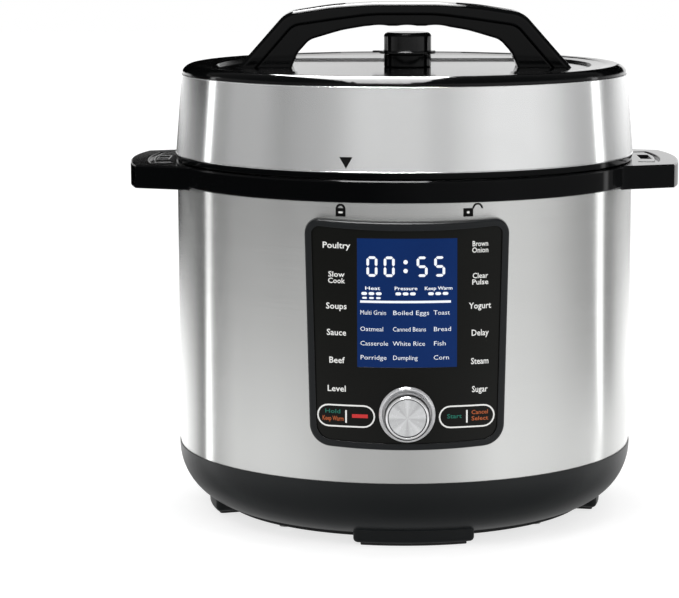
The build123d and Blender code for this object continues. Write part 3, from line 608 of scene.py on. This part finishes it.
WEARERS: dict[Finish, tuple[str, ...]] = {
    STEEL: ("outer_shell",),
    BAND_STEEL: ("lid_band",),
    POT_STEEL: ("inner_pot",),
    PRESSED_STEEL: (
        "pressure_lid", "outer_pot", "sensor_bridge", "seal_rack", "anti_block_shield",
        "display_module",
    ),
    GLOSS_BLACK: ("collar", "lid_cover", "lid_lip", "handle_cover", "handle_grip", "valve_seat"),
    VALVE_BLACK: ("valve_knob",),
    SATIN_BLACK: ("cup_hood",),
    FRAME_BLACK: ("panel_frame",),
    FACE_BLACK: ("panel_face",),
    BASE_BLACK: ("base_tray",),
    COVER_BLACK: ("bottom_cover",),
    RUBBER: ("foot_pads",),
    SCREW_STEEL: (
        "cover_screws", "collar_screws", "plate_screws", "lid_screws", "handle_screws", "board_screws",
        "pipe_nut", "sensor_spring",
    ),
    CAST: ("heating_plate",),
    POLISHED: ("sensor_button", "steam_pipe", "float_pin", "float_guide"),
    DIAL_SILVER: ("dial_knob", "dial_ring"),
    PART_BLACK: ("encoder_body", "capacitors", "mains_inlet"),
    BRASS: ("encoder_shaft", "inlet_blades"),
    BLUE_DISPLAY: ("display_window",),
    GREEN_BOARD: ("control_board",),
    TAN_BOARD: ("power_board",),
    PART_YELLOW: ("transformer",),
    PART_BLUE: ("heater_relay",),
    SILICONE: ("sealing_ring", "float_seal"),
    CLEAR: ("drip_cup",),
}


# ---------------------------------------------------------------- marks on curved walls


def paint(piece: bpy.types.Object, finish: Finish) -> None:
    """Gives a piece one finish.

    Args:
        piece: the mesh object.
        finish: the finish to use.
    """
    piece.data.materials.clear()
    piece.data.materials.append(finish.material())


@dataclass
class Rider:
    """Something that makes pieces for one body."""

    body: Body
    slot: str

    def add_piece(
        self, name: str, points: list[Vector], faces: list[Face], finish: Finish, smooth: bool = False
    ) -> None:
        """Makes a mesh piece and sets it riding.

        Args:
            name: the piece's name.
            points: its corners in metres.
            faces: its faces as corner numbers.
            finish: its finish.
            smooth: whether its faces shade as one surface.
        """
        mesh = bpy.data.meshes.new(name)
        mesh.from_pydata([tuple(p) for p in points], [], faces)
        mesh.update()
        if smooth:
            mesh.shade_smooth()
        piece = bpy.data.objects.new(name, mesh)
        bpy.context.scene.collection.objects.link(piece)
        paint(piece, finish)
        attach(piece, self.body.value)
        LOG.info("%s: %d faces", name, len(faces))


@dataclass
class CurvedWall(Rider):
    """A wall that curves round the pot's axis, with marks printed on it.

    Marks are drawn flat, in x and z in millimetres as seen from the front, and wrap on to the wall.
    """

    radius: float
    taper: float = 0.0
    taper_from: float = 0.0
    print_low: float = -0.03
    print_high: float = 0.09

    def wrap(self, x: float, z: float, lift: float) -> Vector:
        """Finds the point of the wall behind a flat point.

        Args:
            x: millimetres to the right of the middle.
            z: height in millimetres.
            lift: millimetres proud of the wall.

        Returns:
            The point in metres.
        """
        radius = self.radius - self.taper * (z - self.taper_from) + lift
        return Vector((x, -math.sqrt(radius * radius - x * x), z)) * MM

    def strip(
        self, cells: list[tuple[Point, Point]], points: list[Vector], faces: list[Face], closed: bool
    ) -> None:
        """Adds a thin band through pairs of points, closed all round.

        Args:
            cells: pairs of flat points, one on each edge of the band.
            points: the list that takes the new corners.
            faces: the list that takes the new faces.
            closed: whether the band's end joins its start.
        """
        start = len(points)
        for first, second in cells:
            for x, z in (first, second):
                points.append(self.wrap(x, z, self.print_low))
                points.append(self.wrap(x, z, self.print_high))
        count = len(cells)
        for step in range(count if closed else count - 1):
            a = start + 4 * step
            b = start + 4 * ((step + 1) % count)
            faces.append((a + 1, a + 3, b + 3, b + 1))
            faces.append((a, b, b + 2, a + 2))
            faces.append((a, a + 1, b + 1, b))
            faces.append((a + 2, b + 2, b + 3, a + 3))
        if not closed:
            a = start
            b = start + 4 * (count - 1)
            faces.append((a, a + 2, a + 3, a + 1))
            faces.append((b, b + 1, b + 3, b + 2))

    def marks(self, name: str, bars: list[tuple[float, float, float, float]], finish: Finish) -> None:
        """Makes a piece of filled upright rectangles.

        Args:
            name: the piece's name.
            bars: left, bottom, right and top of each, in millimetres.
            finish: the finish.
        """
        points: list[Vector] = []
        faces: list[Face] = []
        for left, bottom, right, top in bars:
            count = max(2, math.ceil((right - left) / 1.5) + 1)
            xs = [left + (right - left) * i / (count - 1) for i in range(count)]
            self.strip([((x, top), (x, bottom)) for x in xs], points, faces, False)
        self.add_piece(name, points, faces, finish)

    def shapes(self, name: str, outlines: list[list[Point]], finish: Finish) -> None:
        """Makes a piece of small filled shapes, each convex.

        Args:
            name: the piece's name.
            outlines: the corners of each shape, anticlockwise from the front.
            finish: the finish.
        """
        points: list[Vector] = []
        faces: list[Face] = []
        for outline in outlines:
            start = len(points)
            count = len(outline)
            points.extend(self.wrap(x, z, self.print_low) for x, z in outline)
            points.extend(self.wrap(x, z, self.print_high) for x, z in outline)
            faces.append(tuple(start + count + i for i in range(count)))
            faces.append(tuple(start + i for i in reversed(range(count))))
            for i in range(count):
                j = (i + 1) % count
                faces.append((start + i, start + j, start + count + j, start + count + i))
        self.add_piece(name, points, faces, finish)

    def ring(self, name: str, paths: list[list[Point]], width: float, finish: Finish) -> None:
        """Makes a piece of closed lines of one width.

        Args:
            name: the piece's name.
            paths: the middle of each line, as points in order.
            width: the line's width in millimetres.
            finish: the finish.
        """
        points: list[Vector] = []
        faces: list[Face] = []
        for path in paths:
            cells = []
            for i, (x, z) in enumerate(path):
                before = path[i - 1]
                after = path[(i + 1) % len(path)]
                along = Vector((after[0] - before[0], after[1] - before[1])).normalized()
                side = Vector((-along.y, along.x)) * width / 2
                cells.append(((x + side.x, z + side.y), (x - side.x, z - side.y)))
            self.strip(cells, points, faces, True)
        self.add_piece(name, points, faces, finish)

    def lettering(self, name: str, lines: list["Line"], finish: Finish) -> None:
        """Makes one piece of all the given lines of lettering.

        Args:
            name: the piece's name.
            lines: the lines.
            finish: the finish.
        """
        points: list[Vector] = []
        faces: list[Face] = []
        for line in lines:
            flat, tris = line.outline()
            start = len(points)
            for x, z, lift in flat:
                points.append(self.wrap(x, z, self.print_low if lift < 0 else self.print_high))
            faces.extend(tuple(start + i for i in face) for face in tris)
        self.add_piece(name, points, faces, finish)


@dataclass(frozen=True)
class Line:
    """One line of lettering: its words, its anchor, capital height and width, in millimetres."""

    words: str
    x: float
    z: float
    height: float
    width: float
    align: Align = Align.CENTRE
    weight: float = 0.012

    def outline(self) -> tuple[list[Spot], list[Face]]:
        """Turns the words into a solid outline.

        Returns:
            Flat points as x, z and a side, and the faces between them.
        """
        text = bpy.data.curves.new("line", "FONT")
        text.body = self.words
        text.align_x = self.align.value
        text.size = 1.0
        text.resolution_u = 2
        text.offset = self.weight
        text.extrude = 0.01
        holder = bpy.data.objects.new("line", text)
        bpy.context.scene.collection.objects.link(holder)
        bpy.context.view_layer.update()
        mesh = bpy.data.meshes.new_from_object(holder.evaluated_get(bpy.context.evaluated_depsgraph_get()))
        cap = CAPITAL
        size = self.height / cap
        across = [v.co.x for v in mesh.vertices]
        squeeze = self.width / (max(across) - min(across))
        corners = (v.co for v in mesh.vertices)
        flat = [(self.x + c.x * squeeze, self.z + (c.y - cap / 2) * size, c.z) for c in corners]
        tris = [tuple(p.vertices) for p in mesh.polygons]
        bpy.data.objects.remove(holder)
        bpy.data.curves.remove(text)
        bpy.data.meshes.remove(mesh)
        return flat, tris


def circle(x: float, z: float, radius: float, count: int) -> list[Point]:
    """Outlines a circle with the given number of corners."""
    turns = (math.tau * i / count for i in range(count))
    return [(x + radius * math.cos(a), z + radius * math.sin(a)) for a in turns]


def stadium(x: float, z: float, width: float, height: float, steps: int = 10) -> list[Point]:
    """Outlines a shape with two straight sides and two round ends.

    Args:
        x: the middle.
        z: the middle.
        width: the full width.
        height: the full height.
        steps: points on each round end.

    Returns:
        The outline's points, anticlockwise.
    """
    radius = height / 2
    run = width / 2 - radius
    path: list[Point] = []
    for i in range(steps + 1):
        angle = -math.pi / 2 + math.pi * i / steps
        path.append((x + run + radius * math.cos(angle), z + radius * math.sin(angle)))
    spans = max(1, int(2 * run / 2.0))
    path.extend((x + run - 2 * run * i / spans, z + radius) for i in range(1, spans))
    for i in range(steps + 1):
        angle = math.pi / 2 + math.pi * i / steps
        path.append((x - run + radius * math.cos(angle), z + radius * math.sin(angle)))
    path.extend((x - run + 2 * run * i / spans, z - radius) for i in range(1, spans))
    return path


# ---------------------------------------------------------------- the cooker's sub-assemblies


@dataclass
class ControlPanel:
    """The printed panel: programme names, touch fields and the lit display."""

    face: CurvedWall = field(default_factory=lambda: CurvedWall(Body.HOUSING, "face_black", 145.2))
    left_x: float = -40.0
    right_x: float = 41.3
    left_names: tuple[str, ...] = ("Poultry", "Slow|Cook", "Soups", "Sauce", "Beef", "Level")
    right_names: tuple[str, ...] = ("Brown|Onion", "Clear|Pulse", "Yogurt", "Delay", "Steam", "Sugar")
    left_rows: tuple[float, ...] = (179.4, 161.1, 144.8, 129.7, 113.8, 97.4)
    right_rows: tuple[float, ...] = (178.4, 160.2, 144.9, 129.4, 113.1, 96.9)
    left_widths: tuple[float, ...] = (15.6, 9.6, 11.7, 11.0, 8.8, 10.3)
    right_widths: tuple[float, ...] = (9.2, 9.2, 12.7, 9.8, 10.0, 9.0)
    name_height: float = 3.4
    pill_z: float = 81.4
    pill_size: Point = (32.2, 12.2)
    pill_x: tuple[float, float] = (-34.7, 34.0)
    digit_z: float = 167.8
    digit_size: Point = (6.2, 11.6)
    digit_x: tuple[float, ...] = (-19.8, -10.1, 8.4, 18.3)
    colon: Point = (-0.9, 1.25)
    level_x: tuple[float, ...] = (-20.1, -0.9, 17.5)
    menu_rows: tuple[float, ...] = (141.6, 132.2, 124.0, 115.9)
    menu_height: float = 2.5

    def build(self) -> None:
        """Builds every mark on the panel."""
        self.names()
        self.touch_fields()
        self.digits()
        self.indicators()
        self.menu()

    def names(self) -> None:
        """Prints the programme names down both sides."""
        lines: list[Line] = []
        columns = (
            (self.left_x, zip(self.left_names, self.left_rows, self.left_widths)),
            (self.right_x, zip(self.right_names, self.right_rows, self.right_widths)),
        )
        for x, rows in columns:
            for words, z, width in rows:
                if "|" in words:
                    upper, lower = words.split("|")
                    small = self.name_height * 0.86
                    lines.append(Line(upper, x, z + small * 0.62, small, width * 0.96))
                    lines.append(Line(lower, x, z - small * 0.62, small, width))
                else:
                    lines.append(Line(words, x, z, self.name_height, width))
        self.face.lettering("programme_names", lines, WHITE_INK)

    def touch_fields(self) -> None:
        """Prints the two outlined touch fields beside the dial."""
        width, height = self.pill_size
        left, right = self.pill_x
        z = self.pill_z
        outlines = [stadium(left, z + 0.3, width, height), stadium(right, z, width - 1.0, height)]
        self.face.ring("touch_outlines", outlines, 0.85, WHITE_INK)
        bar = height * 0.3
        dividers = [(x - 0.45, z - bar, x + 0.45, z + bar) for x in self.pill_x]
        self.face.marks("touch_dividers", dividers, WHITE_INK)
        self.face.lettering(
            "touch_green",
            [Line("Hold", left - 7.6, z + 2.8, 2.3, 8.6), Line("Start", right - 7.2, z + 0.4, 2.4, 8.4)],
            GREEN_INK,
        )
        self.face.lettering(
            "touch_orange",
            [
                Line("Keep Warm", left - 7.4, z - 1.3, 2.6, 12.0),
                Line("Cancel", right + 7.4, z + 2.2, 2.3, 9.4),
                Line("Select", right + 7.4, z - 1.4, 2.3, 9.6),
            ],
            ORANGE_INK,
        )
        self.face.marks("touch_red", [(left + 3.4, z - 0.6, left + 12.4, z + 1.5)], RED_INK)

    def digits(self) -> None:
        """Lights the time, 00:55, in seven segments."""
        width, height = self.digit_size
        outlines: list[list[Point]] = []
        lit = {"0": "abcdef", "5": "afgcd"}
        for x, digit in zip(self.digit_x, "0055"):
            outlines.extend(self.segments(x, self.digit_z, width, height, lit[digit]))
        x, dot = self.colon
        outlines.extend(circle(x, z, dot, 16) for z in (self.digit_z + 2.6, self.digit_z - 2.4))
        self.face.shapes("time_digits", outlines, LIT_WHITE)

    @staticmethod
    def segments(x: float, z: float, width: float, height: float, lit: str) -> list[list[Point]]:
        """Outlines the lit segments of one digit.

        Args:
            x: the digit's middle.
            z: the digit's middle.
            width: its full width.
            height: its full height.
            lit: the letters of the lit segments, a to g.

        Returns:
            One outline for each lit segment.
        """
        bar = 1.5
        half = bar / 2
        gap = 0.22
        reach = width / 2 - half
        rise = height / 2 - half
        ends = {
            "a": ((-reach, rise), (reach, rise)),
            "b": ((reach, 0.0), (reach, rise)),
            "c": ((reach, -rise), (reach, 0.0)),
            "d": ((-reach, -rise), (reach, -rise)),
            "e": ((-reach, -rise), (-reach, 0.0)),
            "f": ((-reach, 0.0), (-reach, rise)),
            "g": ((-reach, 0.0), (reach, 0.0)),
        }
        outlines = []
        for letter in lit:
            (x0, z0), (x1, z1) = ends[letter]
            upright = x0 == x1
            low, high = (z0 + gap, z1 - gap) if upright else (x0 + gap, x1 - gap)
            under = ((low, 0), (low + half, -half), (high - half, -half), (high, 0))
            tips = (*under, (high - half, half), (low + half, half))
            if upright:
                outlines.append([(x + x0 - b, z + a) for a, b in tips])
            else:
                outlines.append([(x + a, z + z0 + b) for a, b in tips])
        return outlines

    def indicators(self) -> None:
        """Lights the three groups of level marks and the rule under them."""
        outlines: list[list[Point]] = []
        for x in self.level_x:
            for step in (-1, 0, 1):
                outlines.append(stadium(x + 4.1 * step, 152.4, 3.3, 1.7, 4))
                if x < -10:
                    outlines.append(stadium(x + 3.9 * step, 149.9, 2.7, 1.1, 4))
        self.face.shapes("level_marks", outlines, LIT_WHITE)
        self.face.marks("display_rule", [(-26.5, 147.1, 24.7, 148.4)], LIT_WHITE)
        words = (("Heat", -19.6, 8.4), ("Pressure", -0.7, 12.8), ("Keep Warm", 17.7, 15.6))
        lines = [Line(text, x, 155.5, 1.9, width) for text, x, width in words]
        self.face.lettering("level_names", lines, LIT_WHITE)

    def menu(self) -> None:
        """Lights the programme list in three columns."""
        columns = (
            (-26.6, (("Multi Grain", 14.4), ("Oatmeal", 12.8), ("Casserole", 15.6), ("Porridge", 14.6))),
            (-8.2, (("Boiled Eggs", 20.2), ("Canned Beans", 18.6), ("White Rice", 18.2), ("Dumpling", 13.8))),
            (14.8, (("Toast", 9.2), ("Bread", 9.6), ("Fish", 6.6), ("Corn", 8.6))),
        )
        lines: list[Line] = []
        for x, names in columns:
            for (words, width), z in zip(names, self.menu_rows):
                lines.append(Line(words, x, z, self.menu_height, width, Align.LEFT, -0.006))
        self.face.lettering("display_menu", lines, LIT_WHITE)


@dataclass
class LockMarks:
    """The arrow on the lid and the two padlocks on the drum that it points to."""

    drum: CurvedWall = field(default_factory=lambda: CurvedWall(Body.HOUSING, "brushed_steel", 139.0))
    band: CurvedWall = field(
        default_factory=lambda: CurvedWall(Body.LID, "brushed_steel", 139.7, taper=0.0856, taper_from=219.8)
    )
    shut_x: float = -37.5
    open_x: float = 34.6
    arrow: Point = (-34.4, 222.2)
    lock: Spot = (2.8, 194.9, 199.7)

    def build(self) -> None:
        """Prints the arrow and the padlocks."""
        x, z = self.arrow
        self.band.shapes("lid_arrow", [[(x, z), (x + 3.7, z + 6.4), (x - 3.7, z + 6.4)]], BLACK_INK)
        half, low, high = self.lock
        bodies = []
        for x in (self.shut_x, self.open_x):
            bodies.append([(x - half, low), (x + half, low), (x + half, high), (x - half, high)])
        self.drum.shapes("padlock_bodies", bodies, BLACK_INK)
        hooks = self.hook(self.shut_x, 199.4, 2.7, 1.5) + self.hook(self.open_x + 5.4, 199.4, 3.0, 2.0)
        self.drum.shapes("padlock_hooks", hooks, BLACK_INK)
        holes = [stadium(self.shut_x, 197.3, 2.6, 1.1, 6), stadium(self.open_x, 197.3, 1.7, 1.5, 6)]
        self.drum.shapes("padlock_keyholes", holes, WHITE_INK)

    @staticmethod
    def hook(middle: float, foot: float, outer: float, inner: float) -> list[list[Point]]:
        """Outlines a padlock's hook as a chain of small cells.

        Args:
            middle: the hook's middle.
            foot: the height where its arc starts.
            outer: the outer radius of its arc.
            inner: the inner radius of its arc.

        Returns:
            One outline for each cell.
        """
        cells = []
        steps = 12
        for i in range(steps):
            a, b = (math.pi * j / steps for j in (i, i + 1))
            corners = ((outer, a), (outer, b), (inner, b), (inner, a))
            cells.append([(middle + r * math.cos(t), foot + r * 1.05 * math.sin(t)) for r, t in corners])
        return cells


@dataclass
class Lathe(Rider):
    """Turns a closed section round an upright or a level axis."""

    centre: Spot = (0.0, 0.0, 0.0)
    level: bool = False
    steps: int = 192

    def ring(self, name: str, section: list[Point], finish: Finish) -> None:
        """Makes a ring from its section.

        Args:
            name: the piece's name.
            section: radius and distance along the axis of each corner, in millimetres.
            finish: the finish.
        """
        points = []
        faces = []
        count = len(section)
        for step in range(self.steps):
            angle = math.tau * step / self.steps
            for radius, along in section:
                across, other = radius * math.cos(angle), radius * math.sin(angle)
                spot = (across, -along, other) if self.level else (across, other, along)
                points.append((Vector(spot) + Vector(self.centre)) * MM)
        for step in range(self.steps):
            here, there = step * count, (step + 1) % self.steps * count
            for i in range(count):
                j = (i + 1) % count
                corners = (here + i, there + i, there + j, here + j)
                faces.append(corners if self.level else corners[::-1])
        self.add_piece(name, points, faces, finish, True)


@dataclass
class RolledEdges:
    """The thin rolled edges of the lid's steel band."""

    size: float = 0.34
    low: Point = (139.62, 220.1)
    high: Point = (135.5, 267.55)
    corners: int = 12

    def build(self) -> None:
        """Turns the beads."""
        lid = Lathe(Body.LID, "brushed_steel")
        lid.ring("band_edge_low", circle(*self.low, self.size, self.corners), EDGE_STEEL)
        lid.ring("band_edge_high", circle(*self.high, self.size * 0.8, self.corners), EDGE_STEEL)


@dataclass
class Selector:
    """The dial: a bright knob with a turned face."""

    centre: Spot = (0.0, -157.3 * MM, 83.3 * MM)

    def build(self) -> None:
        """Dresses the turned cap and turns two thin black rings round it as painted shade, in the groove
        round the cap and in the gap round the knob.
        """
        turned = SpunMetal("turned_cap", (0.9, 0.91, 0.92), 0.24, self.centre, contrast=0.3, metallic=0.7)
        paint(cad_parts["dial_cap"], turned)
        turner = Lathe(Body.KNOB, "satin_black", (0.0, 0.0, self.centre[2] / MM), True, 96)
        # Painted shade: black rings where the groove round the cap and the gap round the knob fall into
        # shade.
        for name, inner, outer, back, front in (
            ("cap_groove_shade", 10.65, 11.05, 156.25, 156.75),
            ("knob_gap_shade", 12.82, 12.94, 151.8, 156.5),
        ):
            turner.ring(name, [(inner, back), (outer, back), (outer, front), (inner, front)], SATIN_BLACK)


class Housing:
    """The CAD nodes that show as they are, each in its own finish."""

    def build(self) -> None:
        """Dresses every CAD node in the table of finishes."""
        for finish, names in WEARERS.items():
            for name in names:
                paint(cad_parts[name], finish)
                LOG.info("%s wears %s", name, finish.name)


# ---------------------------------------------------------------- studio


@dataclass(frozen=True)
class Studio:
    """A pale floor, a soft bright room and the camera."""

    distance: float = 1.58
    height: float = 0.3683
    pitch: float = 8.84
    turn: float = 0.6
    lens: float = 136.7
    shift_x: float = -0.0957
    shift_y: float = 0.0112
    floor_size: float = 12.0
    strip: float = 4.0
    sheen_size: Point = (4.0, 0.0006)
    softbox: tuple[float, ...] = (-0.34, 0.12, -0.45, 1.7, 1.17)
    softbox_light: float = 40.0

    def build(self) -> None:
        """Builds the room."""
        self.floor()
        self.room()
        self.sheen()
        self.softboxes()
        self.lamps()
        self.camera()
        bpy.context.scene.view_settings.view_transform = "Standard"

    @staticmethod
    def sheet(name: str, corners: list[Spot]) -> bpy.types.Object:
        """Makes a flat sheet that belongs to the room.

        Args:
            name: the sheet's name.
            corners: its corners in metres.

        Returns:
            The sheet, with an empty material.
        """
        mesh = bpy.data.meshes.new(name)
        mesh.from_pydata(corners, [], [tuple(range(len(corners)))])
        made = bpy.data.materials.new(name)
        made.use_nodes = True
        mesh.materials.append(made)
        sheet = bpy.data.objects.new(name, mesh)
        bpy.context.scene.collection.objects.link(sheet)
        return sheet

    def card(self, name: str, corners: list[Spot]) -> tuple[NodeTree, bpy.types.NodeSocket]:
        """Makes a sheet that shows in reflections alone.

        Args:
            name: the sheet's name.
            corners: its corners in metres.

        Returns:
            Its empty shader tree and the socket that takes its surface.
        """
        sheet = self.sheet(name, corners)
        for part in ("camera", "diffuse", "transmission", "shadow"):
            setattr(sheet, "visible_" + part, False)
        tree = sheet.data.materials[0].node_tree
        tree.nodes.remove(tree.nodes["Principled BSDF"])
        return NodeTree(tree), tree.nodes["Material Output"].inputs["Surface"]

    def floor(self) -> None:
        """Lays the floor."""
        half = self.floor_size / 2
        floor = self.sheet("floor", [(-half, -half, 0), (half, -half, 0), (half, half, 0), (-half, half, 0)])
        floor.visible_glossy = False
        tree = floor.data.materials[0].node_tree
        nodes = NodeTree(tree)
        shader = tree.nodes["Principled BSDF"]
        place = nodes.add("TexCoord").outputs["Object"]
        fibres = nodes.add("TexNoise", {"Vector": place, "Scale": 60.0})
        paper = nodes.blend(fibres.outputs[0], (0.46, 0.46, 0.46), (0.44, 0.44, 0.44))
        nodes.feed(shader, "Base Color", paper)
        nodes.feed(shader, "Emission Color", paper)
        nodes.feed(shader, "Emission Strength", 1.6)
        nodes.feed(shader, "Roughness", 0.9)
        nodes.feed(shader, "Specular IOR Level", 0.0)

    def room(self) -> None:
        """Makes the room's light: white behind the cooker, and broad upright bands all round it."""
        world = bpy.data.worlds.new("studio")
        bpy.context.scene.world = world
        world.use_nodes = True
        world.cycles.sampling_method = "NONE"
        nodes = NodeTree(world.node_tree)
        back = world.node_tree.nodes["Background"]
        parts = nodes.add("SeparateXYZ", {"Vector": nodes.add("TexCoord").outputs["Generated"]})
        angle = nodes.maths("ARCTAN2", parts.outputs[0], nodes.maths("MULTIPLY", parts.outputs[1], -1.0))
        turn = nodes.maths("ADD", nodes.maths("DIVIDE", angle, math.tau), 0.5)
        high = self.bands(nodes, turn, self.high_stops())
        low = self.bands(nodes, turn, self.low_stops())
        rise = parts.outputs[2]
        walls = nodes.blend(nodes.span(rise, -0.09, 0.0, 0.0, 1.0), low, high)
        shiny = nodes.blend(nodes.span(rise, 0.2, 0.45, 0.0, 1.0), walls, (0.1, 0.1, 0.1))
        rays = nodes.add("LightPath")
        soft = nodes.blend(rays.outputs["Is Diffuse Ray"], shiny, (0.8, 0.8, 0.8))
        nodes.feed(back, "Color", nodes.blend(rays.outputs["Is Camera Ray"], soft, (1.0, 1.0, 1.0)))
        back.inputs["Strength"].default_value = 1.0

    @staticmethod
    def bands(nodes: NodeTree, turn: bpy.types.NodeSocket, stops: list[Point]) -> bpy.types.NodeSocket:
        """Lays a ramp of light round the room.

        Args:
            nodes: the world's tree.
            turn: the way round, 0 to 1.
            stops: degrees to the right of the front, and the light there.

        Returns:
            The light's socket.
        """
        ramp = nodes.add("ValToRGB", {"Fac": turn})
        elements = ramp.color_ramp.elements
        for degrees, _ in stops[1:-1]:
            elements.new(degrees / 360 + 0.5)
        for element, (degrees, light) in zip(elements, stops):
            element.position = degrees / 360 + 0.5
            element.color = (light, light, light, 1.0)
        return ramp.outputs[0]

    def strips(self, left: float, right: float, half: float) -> tuple[list[Point], list[Point]]:
        """Lists the two narrow bright strips behind the cooker's sides.

        Args:
            left: the left strip's middle, in degrees to the right of the front.
            right: the right strip's middle.
            half: half of a strip's width, in degrees.

        Returns:
            The stops of the left and of the right strip.
        """
        return tuple([(middle - half, self.strip), (middle + half, self.strip)] for middle in (left, right))

    def high_stops(self) -> list[Point]:
        """Lists the bands above the floor line, as the tapered lid sees them."""
        left, right = self.strips(-116.0, 113.2, 2.2)
        return [
            (-180.0, 0.9), (-168.0, 1.3), (-150.0, 1.5), (-140.0, 1.2), (-129.0, 0.9), (-119.4, 0.75), *left,
            (-112.6, 0.6), (-105.0, 0.54), (-95.0, 0.7), (-78.0, 0.74), (-64.0, 0.56), (-52.0, 0.72),
            (-18.0, 1.02), (10.0, 1.02), (20.0, 1.04), (32.0, 1.28), (45.0, 1.5), (66.0, 1.45), (80.0, 1.2),
            (89.0, 0.92), (98.0, 0.76), (109.8, 0.72), *right, (116.6, 0.75), (130.0, 1.0), (140.0, 1.3),
            (150.0, 1.5), (168.0, 1.3), (180.0, 0.9),
        ]

    def low_stops(self) -> list[Point]:
        """Lists the bands below the floor line, as the upright drum sees them."""
        left, right = self.strips(-118.4, 116.9, 1.2)
        return [
            (-180.0, 1.6), (-150.0, 1.5), (-136.0, 1.0), (-128.0, 0.45), (-121.4, 0.3), *left, (-115.6, 0.55),
            (-105.0, 0.92), (-96.0, 1.14), (-87.0, 1.12), (-67.0, 1.18), (-55.0, 1.1), (-44.0, 0.94),
            (-31.0, 0.74), (0.0, 0.62), (13.0, 0.68), (24.0, 0.78), (37.0, 0.98), (50.0, 1.13), (72.0, 0.98),
            (90.0, 0.8), (106.0, 0.62), (114.0, 0.62), *right, (119.6, 0.5), (128.0, 0.5), (137.0, 1.1),
            (150.0, 1.5), (180.0, 1.6),
        ]

    def sheen(self) -> None:
        """Dims what the steel mirrors of the far floor, more to the left, and paints a shadow under the
        cooker and a bright patch to its right into what it mirrors of the near floor.
        """
        half, lift = self.sheen_size
        corners = [(-half, -half, lift), (half, -half, lift), (half, half, lift), (-half, half, lift)]
        nodes, surface = self.card("floor_sheen", corners)
        place = nodes.add("TexCoord").outputs["Object"]
        far = nodes.add("VectorMath", {0: place}, operation="LENGTH").outputs["Value"]
        across = nodes.add("SeparateXYZ", {"Vector": place}).outputs[0]
        away = nodes.span(far, 0.45, 1.45, 0.0, 1.0)
        depth = nodes.span(across, -0.6, 0.3, 1.0, 0.6)
        # Painted shadow of the cooker on the floor next to it, as the steel mirrors it.
        under = nodes.span(far, 0.15, 0.25, 0.3, 1.0)
        near = nodes.span(far, 0.43, 0.5, 1.0, 0.0)
        right = nodes.span(across, 0.1, 0.3, 0.0, 1.0)
        tint = nodes.maths("SUBTRACT", 1.0, nodes.maths("MULTIPLY", away, depth))
        dimmed = nodes.maths("MULTIPLY", tint, under)
        grey = nodes.add("CombineColor", {0: dimmed, 1: dimmed, 2: dimmed}).outputs[0]
        # Painted reflection: a glowing patch of bright near floor to the right of the cooker.
        painted_bright_patch = nodes.maths("MULTIPLY", nodes.maths("MULTIPLY", near, right), under)
        clear = nodes.add("BsdfTransparent", {"Color": grey}).outputs[0]
        light = nodes.add("Emission", {"Strength": 1.15}).outputs[0]
        nodes.tree.links.new(nodes.add("MixShader", {0: painted_bright_patch, 1: clear, 2: light}).outputs[0], surface)

    def softboxes(self) -> None:
        """Hangs the softbox and stands the flags that the gloss black plastic mirrors."""
        left, right, front, back, high = self.softbox
        glow = [(left, front, high), (right, front, high), (right, back, high), (left, back, high)]
        cards = [("softbox", glow, self.softbox_light)]
        for name, left, right, depth, low, high in (
            ("flag_far", -1.4, -0.115, 0.6, 0.262, 0.37),
            ("flag_left", -0.7, -0.041, 0.3, 0.313, 0.5),
            ("flag_right", 0.042, 0.7, 0.3, 0.313, 0.5),
        ):
            flag = [(left, depth, low), (right, depth, low), (right, depth, high), (left, depth, high)]
            cards.append((name, flag, 0.0))
        for name, corners, light in cards:
            nodes, surface = self.card(name, corners)
            nodes.tree.links.new(nodes.add("Emission", {"Strength": light}).outputs[0], surface)

    def lamps(self) -> None:
        """Hangs the lamps that light the floor and shape the plastic."""
        for name, place, size, power in (
            ("key", (-0.9, -1.3, 1.9), (1.2, 0.8), 7.0),
            ("top", (0.1, 0.3, 2.0), (1.4, 1.0), 9.0),
            ("fill", (1.6, -1.0, 0.9), (0.8, 1.2), 3.0),
        ):
            lamp = bpy.data.lights.new(name, "AREA")
            lamp.shape = "RECTANGLE"
            lamp.size, lamp.size_y = size
            lamp.energy = power
            holder = bpy.data.objects.new(name, lamp)
            bpy.context.scene.collection.objects.link(holder)
            holder.visible_glossy = False
            holder.location = place
            way = Vector((0.0, 0.0, 0.15)) - Vector(place)
            holder.rotation_euler = way.to_track_quat("-Z", "Y").to_euler()

    def camera(self) -> None:
        """Sets up the camera in front, a little above the lid."""
        lens = bpy.data.cameras.new("camera")
        lens.sensor_width = 36.0
        lens.lens = self.lens
        lens.shift_x = self.shift_x
        lens.shift_y = self.shift_y
        lens.clip_end = 50.0
        holder = bpy.data.objects.new("camera", lens)
        bpy.context.scene.collection.objects.link(holder)
        turned = Matrix.Rotation(-math.radians(self.turn), 4, "Z")
        place = Matrix.Translation((0.0, -self.distance, self.height))
        tilt = Matrix.Rotation(math.radians(90.0 - self.pitch), 4, "X")
        holder.matrix_world = turned @ place @ tilt
        bpy.context.scene.camera = holder


def main() -> None:
    """Builds the cooker's looks and the studio."""
    logging.basicConfig(level=logging.INFO, format="%(name)s %(message)s")
    for part in (Housing(), ControlPanel(), LockMarks(), RolledEdges(), Selector(), Studio()):
        LOG.info("building %s", type(part).__name__)
        part.build()


if __name__ == "__main__":
    main()
